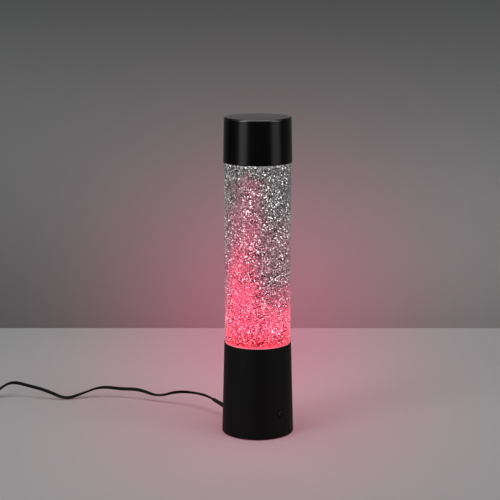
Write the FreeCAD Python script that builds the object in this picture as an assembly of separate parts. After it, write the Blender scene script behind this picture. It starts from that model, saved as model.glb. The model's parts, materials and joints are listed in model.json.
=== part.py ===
import FreeCAD, Part
import math
import os

from FreeCAD import Vector

os.makedirs("parts", exist_ok=True)

# A glitter lamp, in millimetres. The origin is the middle of the surface it stands on, +Z is up,
# the push button looks along -Y and the lead leaves the back along +Y.

# Outline of the lamp
foot_proud = 0.6
housing_height = 110.4
foot_radius = 42.95
rim_radius = 40.0
tank_shows = 216.2
tank_radius = 39.4
cap_height = 52.8
cap_bottom_radius = 40.6
cap_top_radius = 39.55

# Running and fitting clearances
fit = 0.1
slip = 0.2
running = 0.4

# Base housing: a tapered moulded shell, open below and above
housing_wall = 2.2
housing_edge_bevel = 0.3
column_count = 4
column_inset = 0.9
column_radius = 3.5
web_thickness = 1.6
pilot_radius = 0.9
pilot_depth = 9.0

# Bottom cover, set into a rebate of the housing, with the rubber feet let into it
cover_recess = 0.6
cover_thickness = 2.2
cover_rebate = 0.8
foot_count = 4
foot_inset = 1.4
foot_pad_radius = 4.6
foot_pocket = 0.6

# Self-tapping screws
screw_head_radius = 1.9
screw_head_height = 1.2
screw_shank_radius = 0.8
screw_hole_radius = 1.1
screw_length = 7.0
counterbore_depth = 1.3

# Clear tank: a tube on a floor with a well for the stirrer
tank_wall = 2.4
floor_thickness = 2.0
floor_upstand = 5.0
floor_upstand_wall = 1.6
spigot_depth = 6.0
spigot_wall = 1.8
well_radius = 13.0
well_depth = 7.8
well_wall = 1.6
pin_boss_radius = 3.2
pin_boss_height = 1.2
pin_bite = 0.8

# Stirrer, which turns on a steel pin in the well
pin_radius = 1.2
stirrer_radius = 10.8
stirrer_base = 3.6
stirrer_hub_radius = 3.2
vane_height = 5.0
vane_count = 6
vane_thickness = 1.1
vane_sweep = 3.0
retainer_radius = 2.8
retainer_height = 2.0
stirrer_magnet_radius = 2.5
stirrer_magnet_height = 3.0
stirrer_magnet_count = 2

# Lid and filling hole under the cap
cap_lip = 3.8
gasket_thickness = 0.8
lid_thickness = 2.2
lid_spigot_depth = 3.0
lid_spigot_wall = 1.8
lid_inset = 0.2
fill_hole_radius = 7.0
fill_plug_head_radius = 9.0
fill_plug_head_height = 2.0
fill_plug_reach = 2.0
air_gap = 1.8

# Glitter: thin square flakes spread through the filling, fewer and larger than the real ones
# The steps from flake to flake are shares of a whole turn and of the tank's section
flake_count = 120
flake_width = 1.6
flake_thickness = 0.2
flake_gap = 0.05
flake_margin = 2.0
flake_turn_step = 0.7549
flake_reach_step = 0.5698

# Cap
cap_wall = 1.8
cap_roof = 2.0
cap_edge_round = 1.2
cap_rib_count = 6
cap_rib_thickness = 1.2
cap_rib_depth = 3.5

# Magnetic drive under the tank
magnet_gap = 0.8
carrier_radius = 11.0
carrier_disc = 5.0
carrier_hub_radius = 3.5
carrier_hub_height = 3.2
carrier_roof = 1.2
hub_gap = 2.2
magnet_ring_radius = 6.8
drive_magnet_radius = 3.0
drive_magnet_height = 3.0
drive_magnet_count = 4

# Deck that carries the motor and the light board
deck_thickness = 2.4
deck_screw_length = 8.0
board_thickness = 1.6
light_board_inner = 15.5
light_board_edge = 3.9
standoff_count = 3
standoff_ring_radius = 29.0
standoff_radius = 2.6
standoff_height = 5.6

# Round lights, standing on the board
light_ring_radius = 24.5
light_radius = 2.5
light_flange_radius = 2.9
light_flange_height = 1.0
light_height = 8.6
first_light_angle = 140.0

# Motor: a drawn can, a moulded end, two sintered bushes, a ring magnet and a three-pole armature
can_radius = 12.2
can_length = 12.4
can_wall = 0.9
end_thickness = 2.0
nose_radius = 3.0
nose_height = 1.6
shaft_radius = 1.0
bush_radius = 2.2
bush_length = 2.4
motor_screw_ring_radius = 8.0
field_magnet_wall = 2.0
field_magnet_length = 7.6
armature_radius = 8.8
armature_length = 5.6
armature_slot = 1.6
armature_core_radius = 3.0
pole_rim = 1.8
terminal_width = 2.4
terminal_thickness = 0.5
terminal_length = 4.0
terminal_spread = 7.0

# Push button in the front of the housing, with a dished hole
button_height = 30.0
button_radius = 3.7
button_gap = 0.5
dish_width = 0.9
button_proud = 0.2
button_edge_bevel = 0.5
button_travel = 1.0
button_flange = 1.3
button_flange_thickness = 1.2
button_flange_gap = 0.2
button_stem_radius = 2.0
button_stem = 4.6

# Switch and control board behind the button
plunger_radius = 1.7
plunger_shows = 1.4
plunger_bite = 1.4
switch_width = 6.0
switch_depth = 4.0
board_width = 36.0
board_height = 30.0
board_screw_inset = 4.0
board_boss_radius = 3.0
chip_size = 5.0
chip_height = 1.5
connector_width = 7.0
connector_depth = 5.0
connector_height = 5.0
connector_spread = 10.0

# Lead: its gland, the clamp inside, and the wiring
lead_radius = 1.55
lead_height = 11.0
lead_exit_run = 14.0
gland_hole_radius = 3.2
gland_flange_radius = 4.3
gland_flange_thickness = 1.6
gland_inner_flange = 1.5
gland_tail_radius = 2.2
clamp_inset = 10.0
clamp_width = 7.0
clamp_spread = 7.0
clamp_thickness = 3.0
clamp_bite = 0.1
lead_bend = 9.0
lead_rise = 3.0
lead_sway = 1.5
wire_radius = 0.9
wire_bend = 7.0
wire_drop = 9.0
wire_gap = 0.4
ribbon_radius = 1.1
ribbon_bend = 6.0
ribbon_rise = 14.0
ribbon_lean = 4.0
ribbon_drop = 9.0
ribbon_x = 15.0
ribbon_y = -25.0
tube_sides = 8
wire_sides = 6

# Free lead, from the end of the gland's tail: it lies behind the lamp and away to the left
gland_tail_end = (0.0, 86.0, 17.1)
lead_route = [
    (-4.0, 123.0, 18.5),
    (-14.0, 146.0, 16.3),
    (-26.0, 169.0, 6.2),
    (-38.0, 193.0, 13.1),
    (-52.0, 215.0, 11.0),
    (-71.0, 233.0, 14.1),
    (-92.0, 244.0, 6.2),
    (-114.0, 251.0, 0.8),
    (-129.0, 270.0, 10.7),
    (-144.0, 292.0, 15.6),
    (-159.0, 308.0, 20.5),
    (-173.0, 316.0, 11.9),
    (-188.0, 312.0, 3.2),
    (-200.0, 303.0, 1.6),
    (-208.0, 293.0, 1.6),
]
coil_radius = 22.7
turn_pitch = 3.55
turns_in = 7
turns_out = 6
tail_route = [
    (-226.8, 275.2, 5.15),
    (-237.0, 259.0, 4.0),
    (-245.0, 246.0, 4.0),
]

# Plug on the far end: a moulded grip, a plated shell and its tongue with four contacts
relief_length = 12.0
relief_end_radius = 2.9
grip_length = 22.0
grip_width = 15.0
grip_thickness = 8.0
grip_corner = 1.4
shell_length = 12.0
shell_width = 12.0
shell_thickness = 4.5
shell_wall = 0.35
tongue_thickness = 1.9
tongue_inset = 0.4
contact_count = 4
contact_width = 1.0
contact_pitch = 2.2
contact_thickness = 0.2

# Heights and radii that follow from the driving sizes
housing_bottom = foot_proud
rim_height = housing_bottom + housing_height
cap_bottom = rim_height + tank_shows
cap_top = cap_bottom + cap_height
cover_bottom = housing_bottom + cover_recess
cover_top = cover_bottom + cover_thickness
floor_top = rim_height + floor_thickness
tube_inner = tank_radius - tank_wall
tube_top = cap_bottom + cap_lip
lid_bottom = tube_top + gasket_thickness
lid_top = lid_bottom + lid_thickness
liquid_top = cap_bottom - air_gap
well_floor = rim_height - well_depth
well_bottom = well_floor - well_wall
stirrer_bottom = well_floor + pin_boss_height + running
stirrer_deck = stirrer_bottom + stirrer_base
stirrer_top = stirrer_deck + vane_height
retainer_bottom = stirrer_top + running
retainer_top = retainer_bottom + retainer_height
carrier_top = well_bottom - magnet_gap
carrier_bottom = carrier_top - carrier_disc
hub_bottom = carrier_bottom - carrier_hub_height
deck_top = hub_bottom - hub_gap
deck_bottom = deck_top - deck_thickness
light_board_bottom = deck_top + standoff_height
light_board_top = light_board_bottom + board_thickness
can_bottom = deck_bottom - can_length
motor_bottom = can_bottom - end_thickness


def housing_radius(z):
    """Outer radius of the tapered housing at a height."""
    share = (z - housing_bottom) / housing_height
    return foot_radius + (rim_radius - foot_radius) * share


def cap_radius(z):
    """Outer radius of the slightly tapered cap at a height."""
    share = (z - cap_bottom) / cap_height
    return cap_bottom_radius + (cap_top_radius - cap_bottom_radius) * share


housing_inner_front = housing_radius(button_height + button_radius + button_flange) - housing_wall
button_flange_front = math.sqrt(housing_inner_front**2 - (button_radius + button_flange) ** 2)
button_flange_front -= button_flange_gap
button_face = housing_radius(button_height) + button_proud
stem_end = button_flange_front - button_flange_thickness - button_stem
switch_front = stem_end - plunger_shows
board_front = switch_front - switch_depth
board_back = board_front - board_thickness
gland_outside = housing_radius(lead_height - gland_flange_radius)
gland_inside = housing_radius(lead_height + gland_flange_radius) - housing_wall
gland_tail_start = Vector(0, gland_outside + gland_flange_thickness / 2, lead_height)
gland_tail = Vector(*gland_tail_end) - gland_tail_start
clamp_place = gland_inside - clamp_inset
cover_radius = housing_radius(cover_top) - housing_wall + cover_rebate - slip
foot_ring_radius = cover_radius - foot_inset - foot_pad_radius
column_ring_radius = rim_radius - housing_wall - column_inset - column_radius


def upright(radius, low, high, x=0.0, y=0.0):
    return Part.makeCylinder(radius, high - low, Vector(x, y, low))


def tapered(low_radius, high_radius, low, high):
    return Part.makeCone(low_radius, high_radius, high - low, Vector(0, 0, low))


def level(radius, low, high, x, z):
    """A round bar along Y."""
    return Part.makeCylinder(radius, high - low, Vector(x, low, z), Vector(0, 1, 0))


def block(x_low, x_high, y_low, y_high, z_low, z_high):
    return Part.makeBox(
        x_high - x_low, y_high - y_low, z_high - z_low, Vector(x_low, y_low, z_low)
    )


def ring(outer, inner, low, high):
    return upright(outer, low, high).cut(upright(inner, low, high))


def turned(profile):
    """A solid turned about Z from (radius, height) points; a pair of points is an arc through both."""
    start = Vector(profile[0][0], 0, profile[0][1])
    edges = []
    place = start
    for item in profile[1:] + [profile[0]]:
        if isinstance(item[0], tuple):
            middle, end = [Vector(r, 0, z) for r, z in item]
            edges.append(Part.Arc(place, middle, end).toShape())
        else:
            end = Vector(item[0], 0, item[1])
            edges.append(Part.LineSegment(place, end).toShape())
        place = end
    face = Part.Face(Part.Wire(edges))
    return face.revolve(Vector(0, 0, 0), Vector(0, 0, 1), 360)


def spun(shape, angle):
    """A copy turned about the lamp's axis."""
    copy = shape.copy()
    copy.rotate(Vector(0, 0, 0), Vector(0, 0, 1), angle)
    return copy


def round_about(shape, count, first=0.0):
    return [spun(shape, first + 360.0 * i / count) for i in range(count)]


def joined(shapes):
    return shapes[0].fuse(shapes[1:]).removeSplitter()


def polar(radius, angle):
    return radius * math.cos(math.radians(angle)), radius * math.sin(math.radians(angle))


def smooth_route(points):
    """Straight runs with a tangent arc at each point, as large as 0.45 of the shorter run allows."""
    corners = [Vector(*p) for p in points]
    edges = []
    radii = []
    place = corners[0]
    for before, corner, after in zip(corners, corners[1:], corners[2:]):
        back = (before - corner).normalize()
        ahead = (after - corner).normalize()
        half_turn = (math.pi - back.getAngle(ahead)) / 2
        reach = 0.45 * min((before - corner).Length, (after - corner).Length)
        radius = reach / math.tan(half_turn)
        inward = (back + ahead).normalize()
        middle = corner + inward * (radius / math.cos(half_turn) - radius)
        start = corner + back * reach
        end = corner + ahead * reach
        edges.append(Part.LineSegment(place, start).toShape())
        edges.append(Part.Arc(start, middle, end).toShape())
        radii.append(radius)
        place = end
    edges.append(Part.LineSegment(place, corners[-1]).toShape())
    return Part.Wire(edges), radii


def tube(path, radius, sides=tube_sides):
    """A many-sided tube carried along a path, with a flat below where the path starts level."""
    first = path.OrderedEdges[0]
    start = first.valueAt(first.FirstParameter)
    ahead = first.tangentAt(first.FirstParameter)
    across = Vector(0, 0, 1).cross(ahead).normalize()
    up = ahead.cross(across)
    corners = []
    for i in range(sides + 1):
        turn = 2 * math.pi * (i + 0.5) / sides
        corners.append(start + across * (radius * math.cos(turn)) + up * (radius * math.sin(turn)))
    return path.makePipeShell([Part.makePolygon(corners)], True, False)


def tube_section(radius, sides=tube_sides):
    """Area of that tube's section."""
    return sides / 2 * radius**2 * math.sin(2 * math.pi / sides)


def shank(low, high, x, y):
    """A screw's shank, six-sided because its thread is left out."""
    corners = [polar(screw_shank_radius, 60 * i) for i in range(7)]
    outline = Part.makePolygon([Vector(x + a, y + b, low) for a, b in corners])
    return Part.Face(outline).extrude(Vector(0, 0, high - low))


def screws(places, head, tip):
    """Pan-head screws along Z: head is the height of the head's seat, tip the end of the shank."""
    up = 1 if head > tip else -1
    made = []
    for x, y in places:
        low, high = sorted((head, head + up * screw_head_height))
        pan = upright(screw_head_radius, low, high, x, y)
        low, high = sorted((head, tip))
        made.append(pan.fuse(shank(low, high, x, y)).removeSplitter())
    return Part.Compound(made)


def save(name, shape):
    shape.exportStep("parts/" + name + ".step")
    return shape


column_places = [polar(column_ring_radius, 45 + 360 * i / column_count) for i in range(column_count)]
standoff_places = [polar(standoff_ring_radius, 360 * i / standoff_count) for i in range(standoff_count)]
board_screw_x = board_width / 2 - board_screw_inset
clamp_posts = [(-clamp_spread, clamp_place), (clamp_spread, clamp_place)]
ribbon_way = (ribbon_x, ribbon_y)


def base_housing():
    e = housing_edge_bevel
    low = housing_radius(housing_bottom)
    rebate = cover_radius + slip
    ledge = housing_radius(cover_top) - housing_wall
    shell = turned(
        [
            (rebate, housing_bottom),
            (low - e, housing_bottom),
            (housing_radius(housing_bottom + e), housing_bottom + e),
            (rim_radius, rim_height),
            (rim_radius - housing_wall, rim_height),
            (ledge, cover_top),
            (rebate, cover_top),
        ]
    )
    core = tapered(
        ledge + housing_wall / 2, rim_radius - housing_wall / 2, cover_top, rim_height
    )
    columns = []
    for i in range(column_count):
        column = upright(column_radius, cover_top, deck_bottom, column_ring_radius, 0)
        web = block(
            column_ring_radius, foot_radius, -web_thickness / 2, web_thickness / 2, cover_top, deck_bottom
        )
        columns.append(spun(column.fuse(web), 45 + 360 * i / column_count))
    bosses = []
    for x in (-board_screw_x, board_screw_x):
        bosses.append(level(board_boss_radius, -foot_radius, -board_front, x, button_height))
    shell = joined([shell] + [c.common(core) for c in columns + bosses])
    for x, y in column_places:
        shell = shell.cut(upright(pilot_radius, cover_top, cover_top + pilot_depth, x, y))
        shell = shell.cut(upright(pilot_radius, deck_bottom - pilot_depth, deck_bottom, x, y))
    for x in (-board_screw_x, board_screw_x):
        shell = shell.cut(level(pilot_radius, -board_front - screw_length, -board_front, x, button_height))
    hole = button_radius + button_gap
    outside = housing_radius(button_height)
    shell = shell.cut(level(hole, -foot_radius, -board_front, 0, button_height))
    dish = Part.makeCone(
        hole + dish_width + 1, hole - 1, dish_width + 2,
        Vector(0, -outside - 1, button_height), Vector(0, 1, 0),
    )
    shell = shell.cut(dish)
    return shell.cut(level(gland_hole_radius, 0, foot_radius, 0, lead_height))


def base_cover():
    cover = upright(cover_radius, cover_bottom, cover_top)
    saddle_top = lead_height - lead_radius
    for x, y in clamp_posts:
        cover = cover.fuse(upright(clamp_width / 2, cover_bottom, saddle_top, x, y))
    cover = cover.fuse(
        block(
            -clamp_spread, clamp_spread, clamp_place - clamp_width / 2, clamp_place + clamp_width / 2,
            cover_bottom, saddle_top,
        )
    )
    for x, y in clamp_posts:
        cover = cover.cut(upright(pilot_radius, saddle_top - screw_length, saddle_top, x, y))
    for x, y in column_places:
        cover = cover.cut(upright(screw_hole_radius, cover_bottom, cover_top, x, y))
        bore = screw_head_radius + slip
        cover = cover.cut(upright(bore, cover_bottom, cover_bottom + counterbore_depth, x, y))
    for i in range(foot_count):
        x, y = polar(foot_ring_radius, 360 * i / foot_count)
        pocket = upright(foot_pad_radius + fit, cover_bottom, cover_bottom + foot_pocket, x, y)
        cover = cover.cut(pocket)
    return cover.removeSplitter()


def rubber_feet():
    places = [polar(foot_ring_radius, 360 * i / foot_count) for i in range(foot_count)]
    top = cover_bottom + foot_pocket
    return Part.Compound([upright(foot_pad_radius, 0, top, x, y) for x, y in places])


def tank_floor():
    spigot = rim_radius - housing_wall - slip
    upstand = tube_inner - fit
    well_outer = well_radius + well_wall
    floor = turned(
        [
            (0, well_bottom),
            (well_outer, well_bottom),
            (well_outer, rim_height),
            (spigot - spigot_wall, rim_height),
            (spigot - spigot_wall, rim_height - spigot_depth),
            (spigot, rim_height - spigot_depth),
            (spigot, rim_height),
            (tank_radius, rim_height),
            (tank_radius, floor_top),
            (upstand, floor_top),
            (upstand, floor_top + floor_upstand),
            (upstand - floor_upstand_wall, floor_top + floor_upstand),
            (upstand - floor_upstand_wall, floor_top),
            (well_radius, floor_top),
            (well_radius, well_floor),
            (pin_boss_radius, well_floor),
            (pin_boss_radius, well_floor + pin_boss_height),
            (0, well_floor + pin_boss_height),
        ]
    )
    return floor.cut(upright(pin_radius, well_floor - pin_bite, well_floor + pin_boss_height))


def tank_tube():
    return ring(tank_radius, tube_inner, floor_top, tube_top)


def flakes(gap):
    """Square flakes that climb the tank, turned and leaning each its own way, grown by a gap."""
    half = flake_width / 2 + gap
    thick = flake_thickness / 2 + gap
    low = floor_top + floor_upstand + flake_margin
    high = liquid_top - flake_margin
    reach = tube_inner - fit - flake_margin
    made = []
    for i in range(flake_count):
        turn = 360 * flake_turn_step * i
        share = flake_reach_step * i % 1
        x, y = polar(reach * math.sqrt(share), turn)
        flake = block(-half, half, -half, half, -thick, thick)
        flake.rotate(Vector(0, 0, 0), Vector(1, 0, 0), 180 * share)
        flake.rotate(Vector(0, 0, 0), Vector(0, 0, 1), 2 * turn)
        flake.translate(Vector(x, y, low + (high - low) * (i + 0.5) / flake_count))
        made.append(flake)
    return Part.Compound(made)


def liquid():
    """The filling, with the stirrer's swept space and a pocket round each flake left out."""
    side = tube_inner - fit
    upstand = tube_inner - fit - floor_upstand_wall - fit
    stirred_top = retainer_top + running
    filling = turned(
        [
            (stirrer_radius + running, floor_top + fit),
            (upstand, floor_top + fit),
            (upstand, floor_top + floor_upstand + fit),
            (side, floor_top + floor_upstand + fit),
            (side, liquid_top),
            (0, liquid_top),
            (0, stirred_top),
            (stirrer_radius + running, stirred_top),
        ]
    )
    return filling.cut(flakes(flake_gap))


def tank_lid():
    outer = tank_radius - lid_inset
    spigot = tube_inner - fit
    low = lid_bottom - lid_spigot_depth - gasket_thickness
    return turned(
        [
            (fill_hole_radius, lid_bottom),
            (spigot - lid_spigot_wall, lid_bottom),
            (spigot - lid_spigot_wall, low),
            (spigot, low),
            (spigot, lid_bottom),
            (outer, lid_bottom),
            (outer, lid_top),
            (fill_hole_radius, lid_top),
        ]
    )


def fill_plug():
    shank = fill_hole_radius - fit
    return turned(
        [
            (0, lid_bottom - fill_plug_reach),
            (shank - fit, lid_bottom - fill_plug_reach),
            (shank, lid_top),
            (fill_plug_head_radius, lid_top),
            (fill_plug_head_radius, lid_top + fill_plug_head_height),
            (0, lid_top + fill_plug_head_height),
        ]
    )


def cap():
    e = cap_edge_round
    bevel = e * (1 - math.sqrt(0.5))
    lip = tank_radius + fit
    roof = cap_top - cap_roof
    shell = turned(
        [
            (lip, cap_bottom),
            (cap_bottom_radius, cap_bottom),
            (cap_radius(cap_top - e), cap_top - e),
            ((cap_top_radius - bevel, cap_top - bevel), (cap_top_radius - e, cap_top)),
            (0, cap_top),
            (0, roof),
            (cap_radius(roof) - cap_wall, roof),
            (cap_radius(lid_top) - cap_wall, lid_top),
            (lip, lid_top),
        ]
    )
    inside = tapered(
        cap_radius(lid_top) - cap_wall / 2, cap_radius(roof) - cap_wall / 2, lid_top + slip, roof
    )
    rib_inner = cap_radius(roof) - cap_wall - cap_rib_depth
    rib = block(
        rib_inner, cap_bottom_radius, -cap_rib_thickness / 2, cap_rib_thickness / 2, lid_top, cap_top
    )
    ribs = [r.common(inside) for r in round_about(rib, cap_rib_count)]
    return joined([shell] + ribs)


def stirrer():
    body = upright(stirrer_radius, stirrer_bottom, stirrer_deck)
    hub = upright(stirrer_hub_radius, stirrer_bottom, stirrer_top)
    inner = stirrer_hub_radius - fit
    outer = stirrer_radius - fit
    half = vane_thickness / 2
    middle = (inner + outer) / 2
    root = [Vector(inner, y, stirrer_deck) for y in (-half, half)]
    bend = [Vector(middle, vane_sweep / 4 + y, stirrer_deck) for y in (-half, half)]
    tip_x = math.sqrt(outer**2 - (vane_sweep + half) ** 2)
    tip = [Vector(tip_x, vane_sweep + y, stirrer_deck) for y in (-half, half)]
    outline = Part.Wire(
        [
            Part.Arc(root[0], bend[0], tip[0]).toShape(),
            Part.LineSegment(tip[0], tip[1]).toShape(),
            Part.Arc(tip[1], bend[1], root[1]).toShape(),
            Part.LineSegment(root[1], root[0]).toShape(),
        ]
    )
    vane = Part.Face(outline).extrude(Vector(0, 0, vane_height))
    whole = joined([body, hub] + round_about(vane, vane_count))
    whole = whole.cut(upright(pin_radius + slip, stirrer_bottom, stirrer_top))
    pocket = upright(
        stirrer_magnet_radius + fit, stirrer_bottom, stirrer_bottom + stirrer_magnet_height, magnet_ring_radius, 0
    )
    for p in round_about(pocket, stirrer_magnet_count):
        whole = whole.cut(p)
    return whole


def stirrer_magnets():
    magnet = upright(
        stirrer_magnet_radius, stirrer_bottom, stirrer_bottom + stirrer_magnet_height, magnet_ring_radius, 0
    )
    return Part.Compound(round_about(magnet, stirrer_magnet_count))


def stirrer_pin():
    return upright(pin_radius, well_floor - pin_bite, retainer_top)


def pin_retainer():
    return ring(retainer_radius, pin_radius, retainer_bottom, retainer_top)


def magnet_carrier():
    body = upright(carrier_radius, carrier_bottom, carrier_top)
    body = body.fuse(upright(carrier_hub_radius, hub_bottom, carrier_top)).removeSplitter()
    body = body.cut(upright(shaft_radius, hub_bottom, carrier_top - carrier_roof))
    pocket = upright(
        drive_magnet_radius + fit, carrier_top - drive_magnet_height, carrier_top, magnet_ring_radius, 0
    )
    for p in round_about(pocket, drive_magnet_count):
        body = body.cut(p)
    return body


def drive_magnets():
    magnet = upright(drive_magnet_radius, carrier_top - drive_magnet_height, carrier_top, magnet_ring_radius, 0)
    return Part.Compound(round_about(magnet, drive_magnet_count))


def drive_deck():
    plate = upright(housing_radius(deck_top) - housing_wall - slip - fit, deck_bottom, deck_top)
    for x, y in standoff_places:
        plate = plate.fuse(upright(standoff_radius, deck_bottom, light_board_bottom, x, y))
    plate = plate.removeSplitter()
    plate = plate.cut(upright(nose_radius + slip, deck_bottom, deck_top))
    for x, y in column_places:
        plate = plate.cut(upright(screw_hole_radius, deck_bottom, deck_top, x, y))
    for x in (-motor_screw_ring_radius, motor_screw_ring_radius):
        plate = plate.cut(upright(screw_hole_radius, deck_bottom, deck_top, x, 0))
    for x, y in standoff_places:
        plate = plate.cut(upright(pilot_radius, deck_bottom, light_board_bottom, x, y))
    return plate.cut(upright(ribbon_radius + slip, deck_bottom, deck_top, *ribbon_way))


def light_board():
    outer = rim_radius - housing_wall - light_board_edge
    board = ring(outer, light_board_inner, light_board_bottom, light_board_top)
    for x, y in standoff_places:
        board = board.cut(upright(screw_hole_radius, light_board_bottom, light_board_top, x, y))
    return board


def light(turn):
    """One round light with its flange and domed top."""
    x, y = polar(light_ring_radius, first_light_angle + 120 * turn)
    z = light_board_top
    neck = z + light_height - light_radius
    body = turned(
        [
            (0, z),
            (light_flange_radius, z),
            (light_flange_radius, z + light_flange_height),
            (light_radius, z + light_flange_height),
            (light_radius, neck),
            (light_radius * math.sqrt(0.5), neck + light_radius * math.sqrt(0.5)),
            (0, neck + light_radius),
        ]
    )
    body.translate(Vector(x, y, 0))
    return body


def motor_can():
    can = upright(can_radius, can_bottom, deck_bottom)
    can = can.fuse(upright(nose_radius, deck_bottom, deck_bottom + nose_height)).removeSplitter()
    can = can.cut(upright(can_radius - can_wall, can_bottom, deck_bottom - can_wall))
    can = can.cut(upright(bush_radius, deck_bottom - can_wall, deck_bottom + nose_height))
    for x in (-motor_screw_ring_radius, motor_screw_ring_radius):
        can = can.cut(upright(screw_shank_radius, deck_bottom - can_wall, deck_bottom, x, 0))
    return can


def motor_end():
    end = upright(can_radius, motor_bottom, can_bottom)
    end = end.cut(upright(bush_radius, can_bottom - bush_length + slip, can_bottom))
    for x in (-terminal_spread, terminal_spread):
        slot = block(
            x - terminal_width / 2, x + terminal_width / 2,
            -terminal_thickness / 2, terminal_thickness / 2, motor_bottom, can_bottom,
        )
        end = end.cut(slot)
    return end


def motor_terminals():
    tabs = []
    for x in (-terminal_spread, terminal_spread):
        tabs.append(
            block(
                x - terminal_width / 2, x + terminal_width / 2,
                -terminal_thickness / 2, terminal_thickness / 2,
                can_bottom - terminal_length, can_bottom,
            )
        )
    return Part.Compound(tabs)


def motor_bushes():
    lower = ring(bush_radius, shaft_radius + fit / 2, can_bottom - bush_length + slip, can_bottom)
    upper = ring(bush_radius, shaft_radius + fit / 2, deck_bottom - can_wall, deck_bottom + nose_height)
    return Part.Compound([lower, upper])


def field_magnet():
    outer = can_radius - can_wall
    low = can_bottom + (can_length - can_wall - field_magnet_length) / 2
    return ring(outer, outer - field_magnet_wall, low, low + field_magnet_length)


def motor_armature():
    """Three poles: a slotted rim on narrow spokes about the core."""
    low = can_bottom + (can_length - can_wall - armature_length) / 2
    high = low + armature_length
    core = upright(armature_core_radius, low, high)
    rim = ring(armature_radius, armature_radius - pole_rim, low, high)
    spoke = block(0, armature_radius - pole_rim / 2, -armature_slot, armature_slot, low, high)
    slot = block(armature_core_radius, armature_radius + 1, -armature_slot / 2, armature_slot / 2, low, high)
    poles = joined([core, rim] + round_about(spoke, 3))
    for s in round_about(slot, 3, 60):
        poles = poles.cut(s)
    return poles.cut(upright(shaft_radius, low, high))


def motor_shaft():
    return upright(shaft_radius, can_bottom - bush_length + slip, carrier_top - carrier_roof)


def motor_screws():
    places = [(-motor_screw_ring_radius, 0), (motor_screw_ring_radius, 0)]
    return screws(places, deck_top, deck_bottom - can_wall)


def push_button():
    r = button_radius
    e = button_edge_bevel
    flange = r + button_flange
    back = button_flange_front - button_flange_thickness
    body = turned(
        [
            (0, stem_end),
            (button_stem_radius, stem_end),
            (button_stem_radius, back),
            (flange, back),
            (flange, button_flange_front),
            (r, button_flange_front),
            (r, button_face - e),
            (r - e, button_face),
            (0, button_face),
        ]
    )
    body.rotate(Vector(0, 0, 0), Vector(1, 0, 0), 90)
    body.translate(Vector(0, 0, button_height))
    return body


def switch_plunger():
    return level(plunger_radius, -stem_end, -switch_front + plunger_bite, 0, button_height)


def switch_body():
    half = switch_width / 2
    body = block(-half, half, -switch_front, -board_front, button_height - half, button_height + half)
    depth = plunger_bite + button_travel + slip
    return body.cut(level(plunger_radius + fit, -switch_front, -switch_front + depth, 0, button_height))


def control_board():
    half = board_width / 2
    low = button_height - board_height / 2
    board = block(-half, half, -board_front, -board_back, low, low + board_height)
    for x in (-board_screw_x, board_screw_x):
        board = board.cut(level(screw_hole_radius, -board_front, -board_back, x, button_height))
    return board


def control_board_screws():
    pair = screws([(-board_screw_x, 0), (board_screw_x, 0)], 0, board_thickness + screw_length - slip)
    pair.rotate(Vector(0, 0, 0), Vector(1, 0, 0), 90)
    pair.translate(Vector(0, -board_back, button_height))
    return pair


def board_connectors():
    """Three plugged connectors on the back of the board: supply below, lights and motor above."""
    made = []
    half = connector_width / 2
    low = button_height - board_height / 2 + 1
    high = button_height + board_height / 2 - 1 - connector_height
    for x, z in ((0, low), (connector_spread, high), (-connector_spread, high)):
        made.append(block(x - half, x + half, -board_back, -board_back + connector_depth, z, z + connector_height))
    return Part.Compound(made)


def control_chip():
    half = chip_size / 2
    return block(-half, half, -board_back, -board_back + chip_height, button_height - half, button_height + half)


def cord_gland():
    """A grommet with a flange on each side of the wall and a long tapered tail that leans upwards."""
    wall_side = math.sqrt(gland_inside**2 - gland_flange_radius**2) - fit / 2
    body = turned(
        [
            (0, gland_inside - gland_inner_flange),
            (gland_flange_radius, gland_inside - gland_inner_flange),
            (gland_flange_radius, wall_side),
            (gland_hole_radius - fit, wall_side),
            (gland_hole_radius - fit, gland_outside + fit / 2),
            (gland_flange_radius, gland_outside + fit / 2),
            (gland_flange_radius, gland_outside + gland_flange_thickness),
            (0, gland_outside + gland_flange_thickness),
        ]
    )
    body.rotate(Vector(0, 0, 0), Vector(1, 0, 0), -90)
    body.translate(Vector(0, 0, lead_height))
    tail = Part.makeCone(
        gland_hole_radius, gland_tail_radius, gland_tail.Length, gland_tail_start, gland_tail
    )
    return joined([body, tail])


def cord_clamp():
    """A bar over the inner lead, with a groove that holds it."""
    low = lead_height - lead_radius
    high = lead_height + lead_radius + clamp_thickness - clamp_bite
    reach = clamp_spread + clamp_width / 2
    bar = block(
        -reach, reach, clamp_place - clamp_width / 2, clamp_place + clamp_width / 2, low, high
    )
    groove = level(lead_radius + fit / 2, 0, foot_radius, 0, lead_height)
    groove = groove.fuse(block(-lead_radius, lead_radius, 0, foot_radius, low, lead_height))
    bar = bar.cut(groove)
    for x, y in clamp_posts:
        bar = bar.cut(upright(screw_hole_radius, low, high, x, y))
    return bar


def clamp_screws():
    seat = lead_height + lead_radius + clamp_thickness - clamp_bite
    return screws(clamp_posts, seat, lead_height - lead_radius - screw_length + slip)


def inner_lead():
    end_z = button_height - board_height / 2 + 1 + connector_height / 2
    socket = -board_back + connector_depth
    points = [
        (0, gland_inside - gland_inner_flange, lead_height),
        (0, clamp_place - lead_bend, lead_height),
        (lead_sway, lead_sway, lead_height + lead_rise),
        (0, socket + lead_bend, end_z),
        (0, socket, end_z),
    ]
    return tube(smooth_route(points)[0], lead_radius)


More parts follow.
